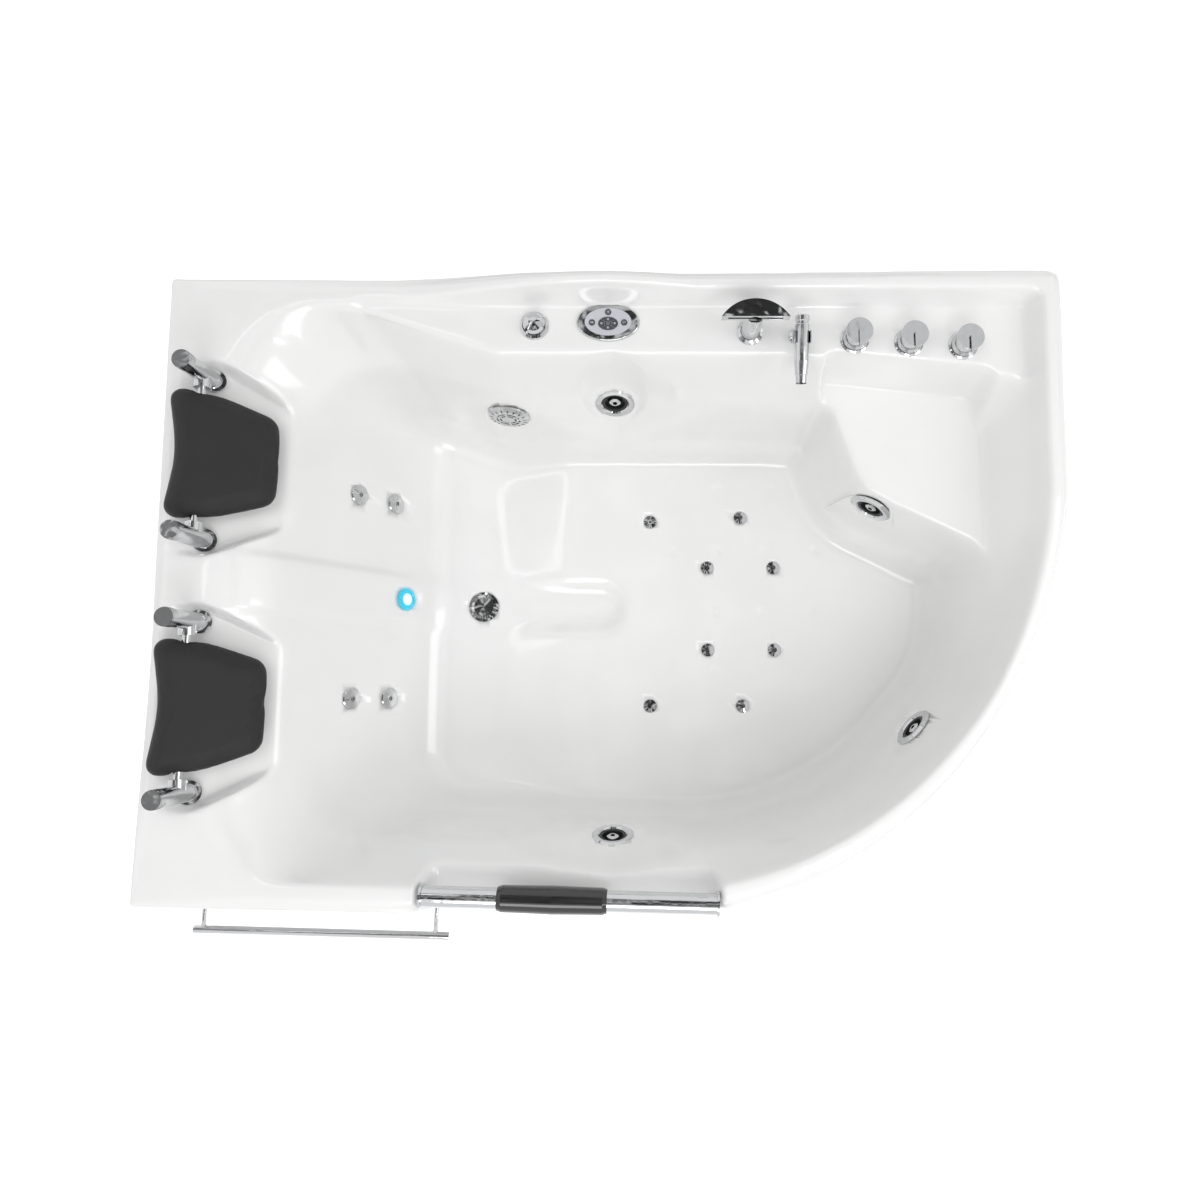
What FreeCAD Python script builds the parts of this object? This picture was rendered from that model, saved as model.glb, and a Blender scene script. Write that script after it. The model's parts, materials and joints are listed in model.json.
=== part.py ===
import FreeCAD, Part
import functools
import math
import os

# Two-person jetted bathtub for a corner: an acrylic shell on a steel frame, with its fittings.
# Millimetres. While the pieces are made, x = 0 is the middle of the tub's length, y = 0 is the edge
# along the back wall (the front is towards -y) and z = 0 is the floor. EXPORT_SHIFT then puts the
# origin under the middle of the whole object, towel rail included.

V = FreeCAD.Vector
X_AXIS = V(1, 0, 0)
Y_AXIS = V(0, 1, 0)
Z_AXIS = V(0, 0, 1)

# ---------------------------------------------------------------- driving dimensions: the shell
TUB_LENGTH = 1700.0        # along the back wall
LEFT_DEPTH = 1172.0        # depth at the left end, from the back wall
RIGHT_DEPTH = 1218.0       # depth that the front edge would reach at the right end, without its arc
FRONT_ARC_R = 800.0        # the big rounded corner, front right
CORNER_R = 10.0            # the three square corners
RIM_Z = 600.0              # height of the flat rim above the floor
SKIRT = 80.0               # depth of the lip turned down round the outside
WALL = 6.0                 # acrylic with its backing
BACK_RIM = 45.0            # rim widths, outside edge to basin
RIGHT_RIM = 45.0
FRONT_RIM = 48.0
LEFT_RIM = 88.0
MOUTH_BACK_R = 30.0        # plan radii of the basin's mouth
LANE_CORNER_SHARE = 0.75   # the back left corner's radius, as a share of the lane's short back edge
MOUTH_LEFT_FRONT_R = 165.0
ARC_EASE = 5.0             # the mouth's arc is made of two, this much tighter than the whole

LIP_PEAK = 60.0            # the back lip's wave: its crest above the rim
LIP_PEAK_X = 10.0
LIP_START_X = -560.0
LIP_DIP = 20.0             # lowest place right of the crest
LIP_DIP_X = 300.0
LIP_END = 40.0             # height at the back right corner
RIGHT_LIP_RUN = 430.0      # the right lip keeps its height so far from the back
RIGHT_LIP_FADE = 760.0     # and is down to the rim here
LIP_END_FRONT = 30.0       # height where it starts to fade

DECK_DROP = 10.0           # the control deck lies this far below the rim
DECK_START_X = -495.0      # the deck's left tip
DECK_CORNER_X = -225.0     # where its front edge becomes straight
DECK_BEND_X = 345.0        # where its front edge starts to widen
DECK_DEPTH = 142.0         # back wall to the deck's front edge
DECK_END_DEPTH = 190.0     # the same at its right end
DECK_TIP_R = 60.0
DECK_CORNER_R = 80.0
DECK_BEND_R = 300.0

SEAT_Z = 470.0             # corner seat, and the ledge line round the basin
LEDGE_BACK_IN = 58.0       # how far each side of the basin has come in at the ledge
LEDGE_LANE_IN = 85.0
LEDGE_RIGHT_IN = 53.0
LEDGE_FRONT_IN = 64.0
LEDGE_TURNS = ((0.374, 0.4125), (0.475, 0.75))     # its two turns along the big arc: how far past the
                           # arc's start, and how round, as shares of the arc's radius
SEAT_LEFT_X = 440.0        # the seat's outline: its left edge, the waist and its front right end
SEAT_WAIST = (500.0, -385.0)
SEAT_FRONT_Y = -508.0
SEAT_CORNER_R = 35.0
SEAT_WAIST_R = 130.0
SEAT_END_R = 70.0
SEAT_BACK_X = (420.0, 742.0)

FLOOR_Z = 150.0            # inside of the basin's lowest floor
COVE = ((230.0, 25.0), (180.0, 40.0), (158.0, 65.0), (150.0, 100.0))   # height, inset below the ledge
LANE_COVE_SHARE = 0.3      # the rear bather's side comes in by this much more
BACKREST_ANGLE = 60.0      # backrest against the floor
BACKREST_FOOT = (-445.0, 170.0)   # x, z of the backrest's lower end
BACKREST_ROLL_R = 120.0    # the roll between deck and backrest
BACKREST_COVE = ((180.0, 3.0), (158.0, 24.0), (150.0, 55.0))      # height, extra inset at the cove

PLATEAU_RISE = 25.0        # the raised foot end of the floor
PLATEAU_START_X = -275.0
PLATEAU_TOP_X = -118.0
CHANNEL_W = 100.0          # groove through it to the drain
CHANNEL_END_X = 10.0

AXIS_Y = -586.0            # the line between the two bathers
CONSOLE_W = 112.0          # raised strip between them
CONSOLE_RISE = 12.0
LANE_OFFSET = 233.0        # that line to the middle of each bather's place

NOTCH_LEFT_X = -338.0      # scooped notch in the front rim, behind the handrail
NOTCH_W = 536.0
NOTCH_DEPTH = 66.0
NOTCH_R = 28.0

CHEVRON_X = -2.0           # facets pressed into the back and front walls, with a ridge in their middle
CHEVRON_HALF_W = 232.0
BACK_CHEVRON = (62.0, 584.0, 26.0, 235.0)     # peak's depth, top's height, foot's rise, foot's height
FRONT_CHEVRON = (30.0, 588.0, 26.0, 300.0)

# ---------------------------------------------------------------- driving dimensions: fittings
GAP = 0.3                  # seat clearance between pieces
RUN = 0.05                 # radial clearance of a running fit

POST_X = -770.0            # the four pillow posts
POST_TOP_Z = 690.0
POST_R = 17.0
POST_SPAN = 312.0          # between the two posts of one pillow
POST_RING_R = 22.0
POST_RING_H = 8.0
PILLOW_AXIS_Z = 613.0
PILLOW_TILT = 26.6         # its slope at rest, down towards the basin
PILLOW_TOP_W = 268.0
PILLOW_LOW_W = 170.0
PILLOW_BACK = 58.0         # from the axis to its upper edge, and to its lower edge
PILLOW_FRONT = 142.0
PILLOW_THICK = 54.0
PILLOW_ROLL = 18.0         # how far its faces draw in from its widest line
PILLOW_EDGE_R = 28.0       # plan radii: upper corners, sides and lower corners
PILLOW_SIDE_R = 90.0
PILLOW_LOW_R = 34.0
PILLOW_WAIST = 0.30        # where its sides start to narrow, and by how much they have come in there
PILLOW_WAIST_IN = 14.0
PILLOW_DISH = 14.0         # the hollow in its upper edge, and its radius
PILLOW_DISH_R = 260.0
PIN_R = 7.0
PIN_DEPTH = 30.0
NECK_R = 15.0
POCKET_BELOW = 36.0        # pocket floor below the pillow's middle plane
POCKET_MARGIN = 18.0
POST_MARGIN = 5.0          # pocket wall to the post's foot ring
POCKET_R = 40.0

JET_R = 44.0               # large jets
JET_RING_H = 7.0
JET_CUP_R = 27.5
JET_BORE_R = 22.0
JET_NUT_R = 38.0
JET_LENGTH = 44.0
BALL_R = 16.0
BALL_SWIVEL_Z = -10.0
HOLE_CLEAR = 30.0          # how far a hole's cut reaches out in front of the shell
JET_PAD_R = 52.0           # flat pads moulded in the shell under the large jets
JET_PAD_DEPTH = 18.0
SIDE_JETS = {              # a point inside the basin and the way from it to the wall, level with the jet
    "seat": ((500.0, -560.0, 408.0), (0.236, 0.972, 0.0)),
    "right": ((400.0, -710.0, 395.0), (0.807, -0.590, 0.0)),
}
CENTRE_JETS = {"back": 380.0, "front": 385.0}      # heights of the jets on the two chevrons' ridges
SMALL_JET_R = 22.0
SMALL_JET_H = 4.0
SMALL_NECK_R = 13.0
BACK_JET_Z = (358.0, 268.0)
BACK_JET_Y = (-371.0, -808.0)
AIR_JET_R = 16.0
AIR_JET_H = 3.0
AIR_NECK_R = 8.0
AIR_JETS = ((74.0, -394.0), (287.0, -384.0), (208.0, -504.0), (363.0, -504.0),
            (208.0, -697.0), (363.0, -697.0), (74.0, -826.0), (287.0, -826.0))
DIMPLES = ((126.0, -311.0), (233.0, -311.0), (360.0, -311.0), (126.0, -463.0), (234.0, -463.0),
           (345.0, -463.0), (463.0, -463.0), (226.0, -608.0), (336.0, -608.0), (453.0, -608.0),
           (120.0, -737.0), (225.0, -743.0))
DIMPLE_R = 9.5
DIMPLE_DEPTH = 1.6
LIGHT_R = 25.0
LIGHT_Z = 246.0
SUCTION_AT = (-228.0, 398.0)      # x, z of the suction fitting on the back wall
SUCTION_LENGTH = 48.0
SUCTION_R = 45.0
DRAIN_AT = (-320.0, -594.0)
DRAIN_R = 36.0
DRAIN_PLUG_R = 29.0
DRAIN_PIPE_R = 20.0
DRAIN_OUTLET_Z = 62.0
DRAIN_OUTLET_Y = -340.0
DRAIN_SPIGOT = 45.0        # the outlet's free end, which takes the waste pipe, and the shoulder behind it
DRAIN_SHOULDER = 3.0

PANEL_AT = (-7.0, -86.0)
PANEL_HALF = (61.0, 38.0)
PANEL_H = 6.0
FACE_HALF = (45.0, 28.0)
ROUND_KEYS = {"light": (0.0, 19.0), "heat": (-31.0, -2.0), "air": (31.0, -2.0)}
ROUND_KEY_R = 6.0
PAD_HALF = (19.0, 13.0)
PAD_HUB_HALF = (7.0, 5.0)
PAD_Y = -4.0
PAD_SPLIT = 1.2
KEY_RISE = 1.4
KEY_TRAVEL = 1.0

AIR_KNOB_AT = (-149.0, -93.0)
AIR_RING_R = 28.0
AIR_KNOB_R = 21.0
SPOUT_AT = (266.0, -106.0)
SPOUT_R = 18.0
SPOUT_FLANGE_R = 25.0
SPOUT_H = 100.0
SPOUT_HEAD_W = 124.0
SPOUT_HEAD_D = 34.0
SPOUT_HEAD_H = 18.0
VALVE_FIRST = (467.0, -120.0)
VALVE_STEP = (104.0, -6.0)
VALVE_NAMES = ("hot", "cold", "diverter")
VALVE_ESC_R = 28.0
VALVE_DISC_R = 25.0
VALVE_KNOB_H = 40.0
VALVE_BORE = 26.0          # how deep the knob goes over its shaft
VALVE_FIN = (5.0, 34.0, 5.0)
VALVE_SHAFT_R = 9.0
TAIL_R = 10.5
HOLDER_AT = (357.0, -114.0)
HOLDER_R = 17.0
CRADLE_Z = 640.0
CRADLE_Y = -136.0
HANDSET_R = 13.5
HANDSET_BACK = 40.0
HANDSET_FRONT = 84.0
HANDSET_TILT = 14.0

RAIL_R = 19.0
RAIL_IN = 30.0             # its axis behind the front edge
RAIL_Z = 585.0
RAIL_FLANGE_R = 23.0
RAIL_FLANGE_T = 4.0
GRIP_R = 25.0
GRIP_X = (-199.0, -3.0)
TOWEL_X = (-805.0, -312.0)
TOWEL_POST_X = (-788.0, -339.0)
TOWEL_Z = 450.0
TOWEL_STAND = 75.0
TOWEL_R = 7.5
TOWEL_POST_R = 4.5

# ---------------------------------------------------------------- driving dimensions: underneath
APRON_IN = 8.0
APRON_T = 3.0
APRON_BOTTOM = 15.0
APRON_UNDER_SKIRT = 6.0
TUBE = 30.0                # square frame tube
RAIL_YS = (-330.0, -880.0)
CROSS_XS = (-640.0, -60.0, 400.0)
SEAT_POST_X = 690.0        # the upright under the corner seat
FRAME_IN = 60.0            # the front rail's end stops this far from the big arc
TRAY_T = 3.5
FOOT_R = 25.0
FOOT_H = 12.0
STUD_R = 6.0
NUT_R = 10.0
NUT_H = 8.0
PUMP_X = 495.0
PUMP_W = 60.0
PUMP_R = 75.0
PUMP_Y = -190.0
PUMP_AXIS_UP = 85.0
MOTOR_L = 190.0
MOTOR_R = 62.0
BLOWER_AT = (-742.0, -234.0)
BLOWER_R = 72.0
BLOWER_H = 130.0
BOX_AT = (-742.0, -600.0)
BOX_SIZE = (150.0, 210.0, 90.0)
PIPE_R = 25.0
PIPE_BEND = 38.0

# ---------------------------------------------------------------- worked out from them
HALF_L = TUB_LENGTH / 2
DECK_Z = RIM_Z - DECK_DROP
PLATEAU_Z = FLOOR_Z + PLATEAU_RISE
FRAME_TOP = FLOOR_Z - WALL - GAP
FRAME_BOTTOM = FRAME_TOP - TUBE
TRAY_TOP = FRAME_BOTTOM
SKIRT_Z = RIM_Z - SKIRT
APRON_TOP = SKIRT_Z + APRON_UNDER_SKIRT
FRONT_SLOPE = (RIGHT_DEPTH - LEFT_DEPTH) / TUB_LENGTH
LANES = (AXIS_Y + LANE_OFFSET, AXIS_Y - LANE_OFFSET)
TOWEL_Y = -LEFT_DEPTH - FRONT_SLOPE * (TOWEL_X[0] + HALF_L) - TOWEL_STAND
EXPORT_SHIFT = V(0, (-TOWEL_Y + TOWEL_R + FRONT_SLOPE * (TOWEL_X[1] - TOWEL_X[0])) / 2, 0)


# ---------------------------------------------------------------- geometry helpers
def front_y(x):
    """The front edge of the rim at this x, left of the big arc."""
    return -LEFT_DEPTH - FRONT_SLOPE * (x + HALF_L)


def inset_corners(corners, insets):
    """Moves each edge of a clockwise polygon inwards by its own distance. Corners are (x, y, radius)."""
    moved = []
    count = len(corners)
    lines = []
    for i in range(count):
        a = corners[i]
        b = corners[(i + 1) % count]
        length = math.hypot(b[0] - a[0], b[1] - a[1])
        ux, uy = (b[0] - a[0]) / length, (b[1] - a[1]) / length
        lines.append((a[0] + uy * insets[i], a[1] - ux * insets[i], ux, uy))
    for i in range(count):
        px, py, ux, uy = lines[i - 1]
        qx, qy, wx, wy = lines[i]
        cross = ux * wy - uy * wx
        t = ((qx - px) * wy - (qy - py) * wx) / cross
        moved.append((px + ux * t, py + uy * t, corners[i][2]))
    return moved


def grow_corners(corners, grow):
    """The polygon with every edge moved out by grow, and its radii with it."""
    moved = inset_corners(corners, [-grow] * len(corners))
    result = []
    count = len(corners)
    for i in range(count):
        a, b, c = corners[i - 1], corners[i], corners[(i + 1) % count]
        turn = (b[0] - a[0]) * (c[1] - b[1]) - (b[1] - a[1]) * (c[0] - b[0])
        radius = b[2] + (grow if turn < 0 else -grow)
        result.append((moved[i][0], moved[i][1], max(radius, CORNER_R)))
    return result


def rounded_wire(corners, z):
    """A closed wire at height z through the corners, each one an arc of its radius."""
    count = len(corners)
    starts = []
    for i in range(count):
        a, b, c = corners[i - 1], corners[i], corners[(i + 1) % count]
        into = V(b[0] - a[0], b[1] - a[1], 0).normalize()
        out = V(c[0] - b[0], c[1] - b[1], 0).normalize()
        half_turn = math.acos(max(-1.0, min(1.0, into * out))) / 2
        reach = b[2] * math.tan(half_turn)
        corner = V(b[0], b[1], z)
        first = corner - into * reach
        last = corner + out * reach
        middle_way = (out - into).normalize()
        sagitta = b[2] / math.cos(half_turn) - b[2]
        starts.append((first, corner + middle_way * sagitta, last))
    edges = []
    for i in range(count):
        first, middle, last = starts[i]
        edges.append(Part.Arc(first, middle, last).toShape())
        edges.append(Part.LineSegment(last, starts[(i + 1) % count][0]).toShape())
    return Part.Wire(edges)


def prism(corners, z0, z1):
    """A straight-sided block on a rounded polygon."""
    return Part.Face(rounded_wire(corners, z0)).extrude(V(0, 0, z1 - z0))


def revolve(profile):
    """A turned solid from (radius, height) points, about the z axis."""
    points = [V(r, 0, h) for r, h in profile]
    return Part.Face(Part.makePolygon(points + points[:1])).revolve(V(), Z_AXIS, 360)


def stand(shape, at, direction=Z_AXIS):
    """Turns a shape made along +z to this direction and moves it to its place."""
    turned = shape.copy()
    turned.Placement = FreeCAD.Placement(V(*at), FreeCAD.Rotation(Z_AXIS, V(*direction))) * shape.Placement
    return turned


def side_profile(points, y0, y1):
    """A block from (x, z) points, between two y values."""
    wire = Part.makePolygon([V(x, y0, z) for x, z in points + points[:1]])
    return Part.Face(wire).extrude(V(0, y1 - y0, 0))


def box(x0, x1, y0, y1, z0, z1):
    return Part.makeBox(x1 - x0, y1 - y0, z1 - z0, V(x0, y0, z0))


def rod(a, b, radius):
    """A round bar between two points."""
    way = b - a
    return Part.makeCylinder(radius, way.Length, a, way)


def tube_run(points, radius, bend):
    """A round pipe along straight runs with tangent bends."""
    edges = []
    last = points[0]
    for before, corner, after in zip(points, points[1:], points[2:]):
        into = (corner - before).normalize()
        out = (after - corner).normalize()
        half_turn = into.getAngle(out) / 2
        reach = bend * math.tan(half_turn)
        first = corner - into * reach
        end = corner + out * reach
        middle = corner + (out - into).normalize() * (bend / math.cos(half_turn) - bend)
        edges.append(Part.LineSegment(last, first).toShape())
        edges.append(Part.Arc(first, middle, end).toShape())
        last = end
    edges.append(Part.LineSegment(last, points[-1]).toShape())
    ring = Part.Wire(Part.makeCircle(radius, points[0], points[1] - points[0]))
    return Part.Wire(edges).makePipeShell([ring], True, False)


def group(shapes):
    return Part.makeCompound(shapes)


# ---------------------------------------------------------------- outlines of the shell
def outline():
    """The rim's outer edge, clockwise from the back left."""
    return [(-HALF_L, 0.0, CORNER_R), (HALF_L, 0.0, CORNER_R),
            (HALF_L, -RIGHT_DEPTH, FRONT_ARC_R), (-HALF_L, -LEFT_DEPTH, CORNER_R)]


def arc_reach(turn):
    """From the corner of the big arc's outline to where an arc of the mouth's radius begins."""
    return (FRONT_ARC_R - RIGHT_RIM) * math.tan(turn / 2)


def mouth():
    """The basin's mouth: the rim's inner edge and the front edge of the control deck."""
    corners = inset_corners(outline(), (BACK_RIM, RIGHT_RIM, FRONT_RIM, LEFT_RIM))
    x0, y_back = corners[0][0], corners[0][1] - 5.0
    x1, y_front = corners[2][0], corners[2][1]
    turn = math.pi / 2 + math.atan(FRONT_SLOPE)
    reach = arc_reach(turn) - arc_reach(turn / 2)
    arc_r = FRONT_ARC_R - RIGHT_RIM - ARC_EASE
    return [(x0, y_back, 0.0), (DECK_START_X, y_back, DECK_TIP_R),
            (DECK_CORNER_X, -DECK_DEPTH, DECK_CORNER_R), (DECK_BEND_X, -DECK_DEPTH - 1.0, DECK_BEND_R),
            (x1, -DECK_END_DEPTH, SEAT_CORNER_R), (x1, y_front + reach, arc_r),
            (x1 - reach, y_front + FRONT_SLOPE * reach, arc_r), (x0, corners[3][1], MOUTH_LEFT_FRONT_R)]


def ledge():
    """The basin's outline on the ledge line, below the control deck."""
    base = mouth()
    corners = [base[0], base[1], base[2], base[3], base[4],
               (base[4][0], base[6][1] - FRONT_SLOPE * (base[4][0] - base[6][0]), 0.0), base[7]]
    insets = (LEDGE_LANE_IN, LEDGE_BACK_IN, LEDGE_BACK_IN, LEDGE_BACK_IN, LEDGE_RIGHT_IN, LEDGE_FRONT_IN,
              backrest_x(SEAT_Z) - base[0][0])
    moved = inset_corners(corners, insets)
    x1, y1, _ = moved[5]
    (right_share, right_round), (front_share, front_round) = LEDGE_TURNS
    turn_y = FRONT_ARC_R - RIGHT_DEPTH - right_share * FRONT_ARC_R
    turn_x = HALF_L - FRONT_ARC_R + front_share * FRONT_ARC_R
    return moved[:5] + [(x1, turn_y, right_round * FRONT_ARC_R),
                        (turn_x, y1 + FRONT_SLOPE * (x1 - turn_x), front_round * FRONT_ARC_R), moved[6]]


def backrest_x(z):
    """The backrest's surface at height z, along its straight part and through the cove."""
    return BACKREST_FOOT[0] - (z - BACKREST_FOOT[1]) / math.tan(math.radians(BACKREST_ANGLE))


def roll_levels():
    """Heights and x of the roll between the deck and the backrest."""
    start = -HALF_L + LEFT_RIM
    levels = []
    for share in (0.0, 0.33, 0.67, 1.0):
        a = math.radians(BACKREST_ANGLE * share)
        levels.append((RIM_Z - BACKREST_ROLL_R * (1 - math.cos(a)), start + BACKREST_ROLL_R * math.sin(a)))
    return levels


def upper_section(z, left_x):
    """The basin between the rim and the ledge line, seen from above at height z."""
    share = (RIM_Z - z) / (RIM_Z - SEAT_Z)
    section = [tuple(a + share * (b - a) for a, b in zip(top, low)) for top, low in zip(mouth(), ledge())]
    return fit_left(section, left_x)


def fit_left(section, left_x):
    """Puts the backrest's edge at this x, with the back corner's radius to suit its short edge."""
    back_y = section[0][1]
    turn_x, front_y_there, _ = section[-2]
    front = front_y_there + FRONT_SLOPE * (turn_x - left_x)
    return ([(left_x, back_y, LANE_CORNER_SHARE * (section[1][0] - left_x))] + section[1:-1]
            + [(left_x, front, section[-1][2])])


def lower_section(inset, left_x):
    """The basin below the ledge line, its sides moved in by this much."""
    upper = upper_section(SEAT_Z, backrest_x(SEAT_Z))
    right_x = upper[5][0]
    base = upper[:4] + [(SEAT_LEFT_X, upper[3][1] - 8.0, SEAT_CORNER_R), SEAT_WAIST + (SEAT_WAIST_R,),
                        (right_x, SEAT_FRONT_Y, SEAT_END_R)] + upper[5:]
    insets = [(1 + LANE_COVE_SHARE) * inset] + [inset] * (len(base) - 2) + [0.0]
    moved = inset_corners(base, insets)
    grown = grow_corners(base, -inset)
    return fit_left([(x, y, r) for (x, y, _), (_, _, r) in zip(moved, grown)], left_x)


def loft(sections):
    return Part.makeLoft([rounded_wire(corners, z) for corners, z in sections], True, True)


@functools.lru_cache
def basin(grow, lift):
    """The basin's inside as a solid: grown by the wall for the outside, its backrest moved in by lift."""
    upper = []
    for z, x in roll_levels():
        upper.append((grow_corners(upper_section(z, x + lift), grow), z))
    ledge = grow_corners(upper_section(SEAT_Z, backrest_x(SEAT_Z) + lift), grow)
    upper.append((ledge, SEAT_Z - grow))
    lower = [(grow_corners(lower_section(0.0, backrest_x(SEAT_Z) + lift), grow), SEAT_Z)]
    for z, inset in COVE:
        extra = dict(BACKREST_COVE).get(z, 0.0)
        corners = grow_corners(lower_section(inset, backrest_x(z) + extra + lift), grow)
        lower.append((corners, z))
    lower[-1] = (lower[-1][0], FLOOR_Z - grow)
    return loft(upper).fuse(loft(lower))


def plateau(drop):
    """What the raised floor takes out of the basin."""
    below = FLOOR_Z - 4 * WALL
    return side_profile([(PLATEAU_START_X, FLOOR_Z - drop), (PLATEAU_TOP_X, PLATEAU_Z - drop),
                         (HALF_L, PLATEAU_Z - drop), (HALF_L, below), (PLATEAU_START_X, below)],
                        -RIGHT_DEPTH, 0.0)


def channel(grow):
    """The groove that drains the raised floor."""
    half = CHANNEL_W / 2 + grow
    y = DRAIN_AT[1]
    corners = [(PLATEAU_START_X - 60.0, y + half, CORNER_R), (CHANNEL_END_X + grow, y + half, half - 1.0),
               (CHANNEL_END_X + grow, y - half, half - 1.0), (PLATEAU_START_X - 60.0, y - half, CORNER_R)]
    return prism(corners, FLOOR_Z - grow, PLATEAU_Z + 20.0 - grow)


def seat_back(grow):
    """Straightens the seat's back under the control deck."""
    x0, x1 = SEAT_BACK_X
    slope = (DECK_END_DEPTH - DECK_DEPTH) / (HALF_L - RIGHT_RIM - DECK_BEND_X)
    y0 = -DECK_DEPTH - slope * (x0 - DECK_BEND_X)
    y1 = -DECK_DEPTH - slope * (x1 - DECK_BEND_X)
    corners = [(x0, y0, CORNER_R), (x1, y1, SEAT_CORNER_R), (x1, y1 - 110.0, CORNER_R),
               (x0, y0 - 110.0, CORNER_R)]
    return prism(grow_corners(corners, grow), SEAT_Z - grow, RIM_Z + 1.0)


def chevron(y_sign, wall_y, shape, grow):
    """A facet pressed into a long wall: a wide pyramid whose peak lies on the ledge line."""
    peak_out, top_z, foot_in, foot_z = shape
    half = CHEVRON_HALF_W + 2 * grow
    peak = V(CHEVRON_X, wall_y + y_sign * (peak_out + grow), SEAT_Z)
    left = V(CHEVRON_X - half, wall_y + y_sign * grow * 0.2, SEAT_Z)
    right = V(CHEVRON_X + half, wall_y + y_sign * grow * 0.2, SEAT_Z)
    top = V(CHEVRON_X, wall_y + y_sign * (LEDGE_BACK_IN * 0.98 + grow), top_z)
    foot = V(CHEVRON_X, wall_y - y_sign * (foot_in - grow), foot_z)
    inner = V(CHEVRON_X, wall_y - y_sign * 90.0, SEAT_Z)
    faces = []
    for a in (left, right):
        for b in (top, foot):
            faces.append((a, b, peak))
            faces.append((a, b, inner))
    shell = Part.makeShell([Part.Face(Part.makePolygon(list(f) + [f[0]])) for f in faces])
    solid = Part.Solid(shell)
    if solid.Volume < 0:
        solid.reverse()
    return solid


def back_wall_y():
    """The back wall's surface on the ledge line."""
    return upper_section(SEAT_Z, backrest_x(SEAT_Z))[2][1]


def front_wall_y():
    return front_y(CHEVRON_X) + FRONT_RIM + LEDGE_FRONT_IN


def chevrons(grow):
    return [chevron(1.0, back_wall_y(), BACK_CHEVRON, grow),
            chevron(-1.0, front_wall_y(), FRONT_CHEVRON, grow)]


def ridge(y_sign, wall_y, shape, z):
    """A point on a chevron's lower ridge at height z, and the way it faces."""
    peak_out, _, foot_in, foot_z = shape
    share = (SEAT_Z - z) / (SEAT_Z - foot_z)
    y = wall_y + y_sign * (peak_out - share * (peak_out + foot_in))
    facing = V(0, -y_sign * (SEAT_Z - foot_z), peak_out + foot_in).normalize()
    return V(CHEVRON_X, y, z), facing


def notch(grow):
    """The scooped notch in the front rim."""
    x0 = NOTCH_LEFT_X - grow
    x1 = NOTCH_LEFT_X + NOTCH_W + grow
    low = RIM_Z - NOTCH_DEPTH - grow
    high = RIM_Z + 60.0
    y0 = front_y(x1) - 30.0
    block = box(x0, x1, y0, front_y(x0) + FRONT_RIM + 40.0, low, high)
    bottom = [e for e in block.Edges if abs(e.BoundBox.ZMax - low) < 0.01 and e.BoundBox.YLength > 10]
    return block.makeFillet(NOTCH_R + grow, bottom)


def pocket(lane_y, grow):
    """The sloping recess behind a pillow."""
    half_top = POST_SPAN / 2 + POST_RING_R + POST_MARGIN + grow
    half_low = PILLOW_LOW_W / 2 + 2 * POCKET_MARGIN + grow
    x0 = -PILLOW_BACK - 8.0 - grow
    x1 = PILLOW_FRONT + POCKET_MARGIN + grow
    bend = POST_RING_R + POST_MARGIN + grow
    corners = [(x0, half_top, CORNER_R), (bend, half_top, POCKET_R),
               (x1, half_low, POCKET_R), (x1, -half_low, POCKET_R),
               (bend, -half_top, POCKET_R), (x0, -half_top, CORNER_R)]
    block = prism(corners, -POCKET_BELOW - grow, 120.0)
    block.rotate(V(), Y_AXIS, PILLOW_TILT)
    block.translate(V(POST_X, lane_y, PILLOW_AXIS_Z))
    return block


def lips(grow, low):
    """The raised lip along the back wall and down the right side, from the rim or from below it."""
    top = [V(LIP_START_X, 0, RIM_Z), V(LIP_START_X * 0.6, 0, RIM_Z + LIP_PEAK * 0.2),
           V(LIP_PEAK_X - 90, 0, RIM_Z + LIP_PEAK * 0.96), V(LIP_PEAK_X, 0, RIM_Z + LIP_PEAK),
           V(LIP_PEAK_X + 110, 0, RIM_Z + LIP_PEAK * 0.75), V(LIP_DIP_X, 0, RIM_Z + LIP_DIP),
           V(HALF_L + 5, 0, RIM_Z + LIP_END)]
    curve = Part.BSplineCurve()
    curve.interpolate([p - V(0, 0, grow) for p in top])
    edges = [curve.toShape(),
             Part.LineSegment(V(HALF_L + 5, 0, RIM_Z + LIP_END - grow), V(HALF_L + 5, 0, low)).toShape(),
             Part.LineSegment(V(HALF_L + 5, 0, low), V(LIP_START_X, 0, low)).toShape(),
             Part.LineSegment(V(LIP_START_X, 0, low), V(LIP_START_X, 0, RIM_Z - grow)).toShape()]
    wave = Part.Face(Part.Wire(edges)).extrude(V(0, -BACK_RIM, 0))
    side = [V(0, 0, low), V(0, 0, RIM_Z + LIP_END - grow),
            V(0, -RIGHT_LIP_RUN, RIM_Z + LIP_END_FRONT - grow),
            V(0, -RIGHT_LIP_FADE, RIM_Z - grow), V(0, -RIGHT_LIP_FADE, low)]
    wedge = Part.Face(Part.makePolygon(side + side[:1])).extrude(V(HALF_L, 0, 0))
    ring = prism(grow_corners(outline(), -grow), low, RIM_Z + 2 * LIP_PEAK)
    rims = inset_corners(outline(), (BACK_RIM, RIGHT_RIM, FRONT_RIM, LEFT_RIM))
    rims[2] = (rims[2][0], rims[2][1], FRONT_ARC_R - RIGHT_RIM)
    ring = ring.cut(prism(grow_corners(rims, grow), low - 1, RIM_Z + 3 * LIP_PEAK))
    wave = wave.common(prism(grow_corners(outline(), -grow), low - 1, RIM_Z + 2 * LIP_PEAK))
    wave = wave.cut(box(-HALF_L, HALF_L, -RIGHT_DEPTH, -BACK_RIM + grow, 0, RIM_Z + 2 * LIP_PEAK))
    return ring.common(wedge).fuse(wave)


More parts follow.
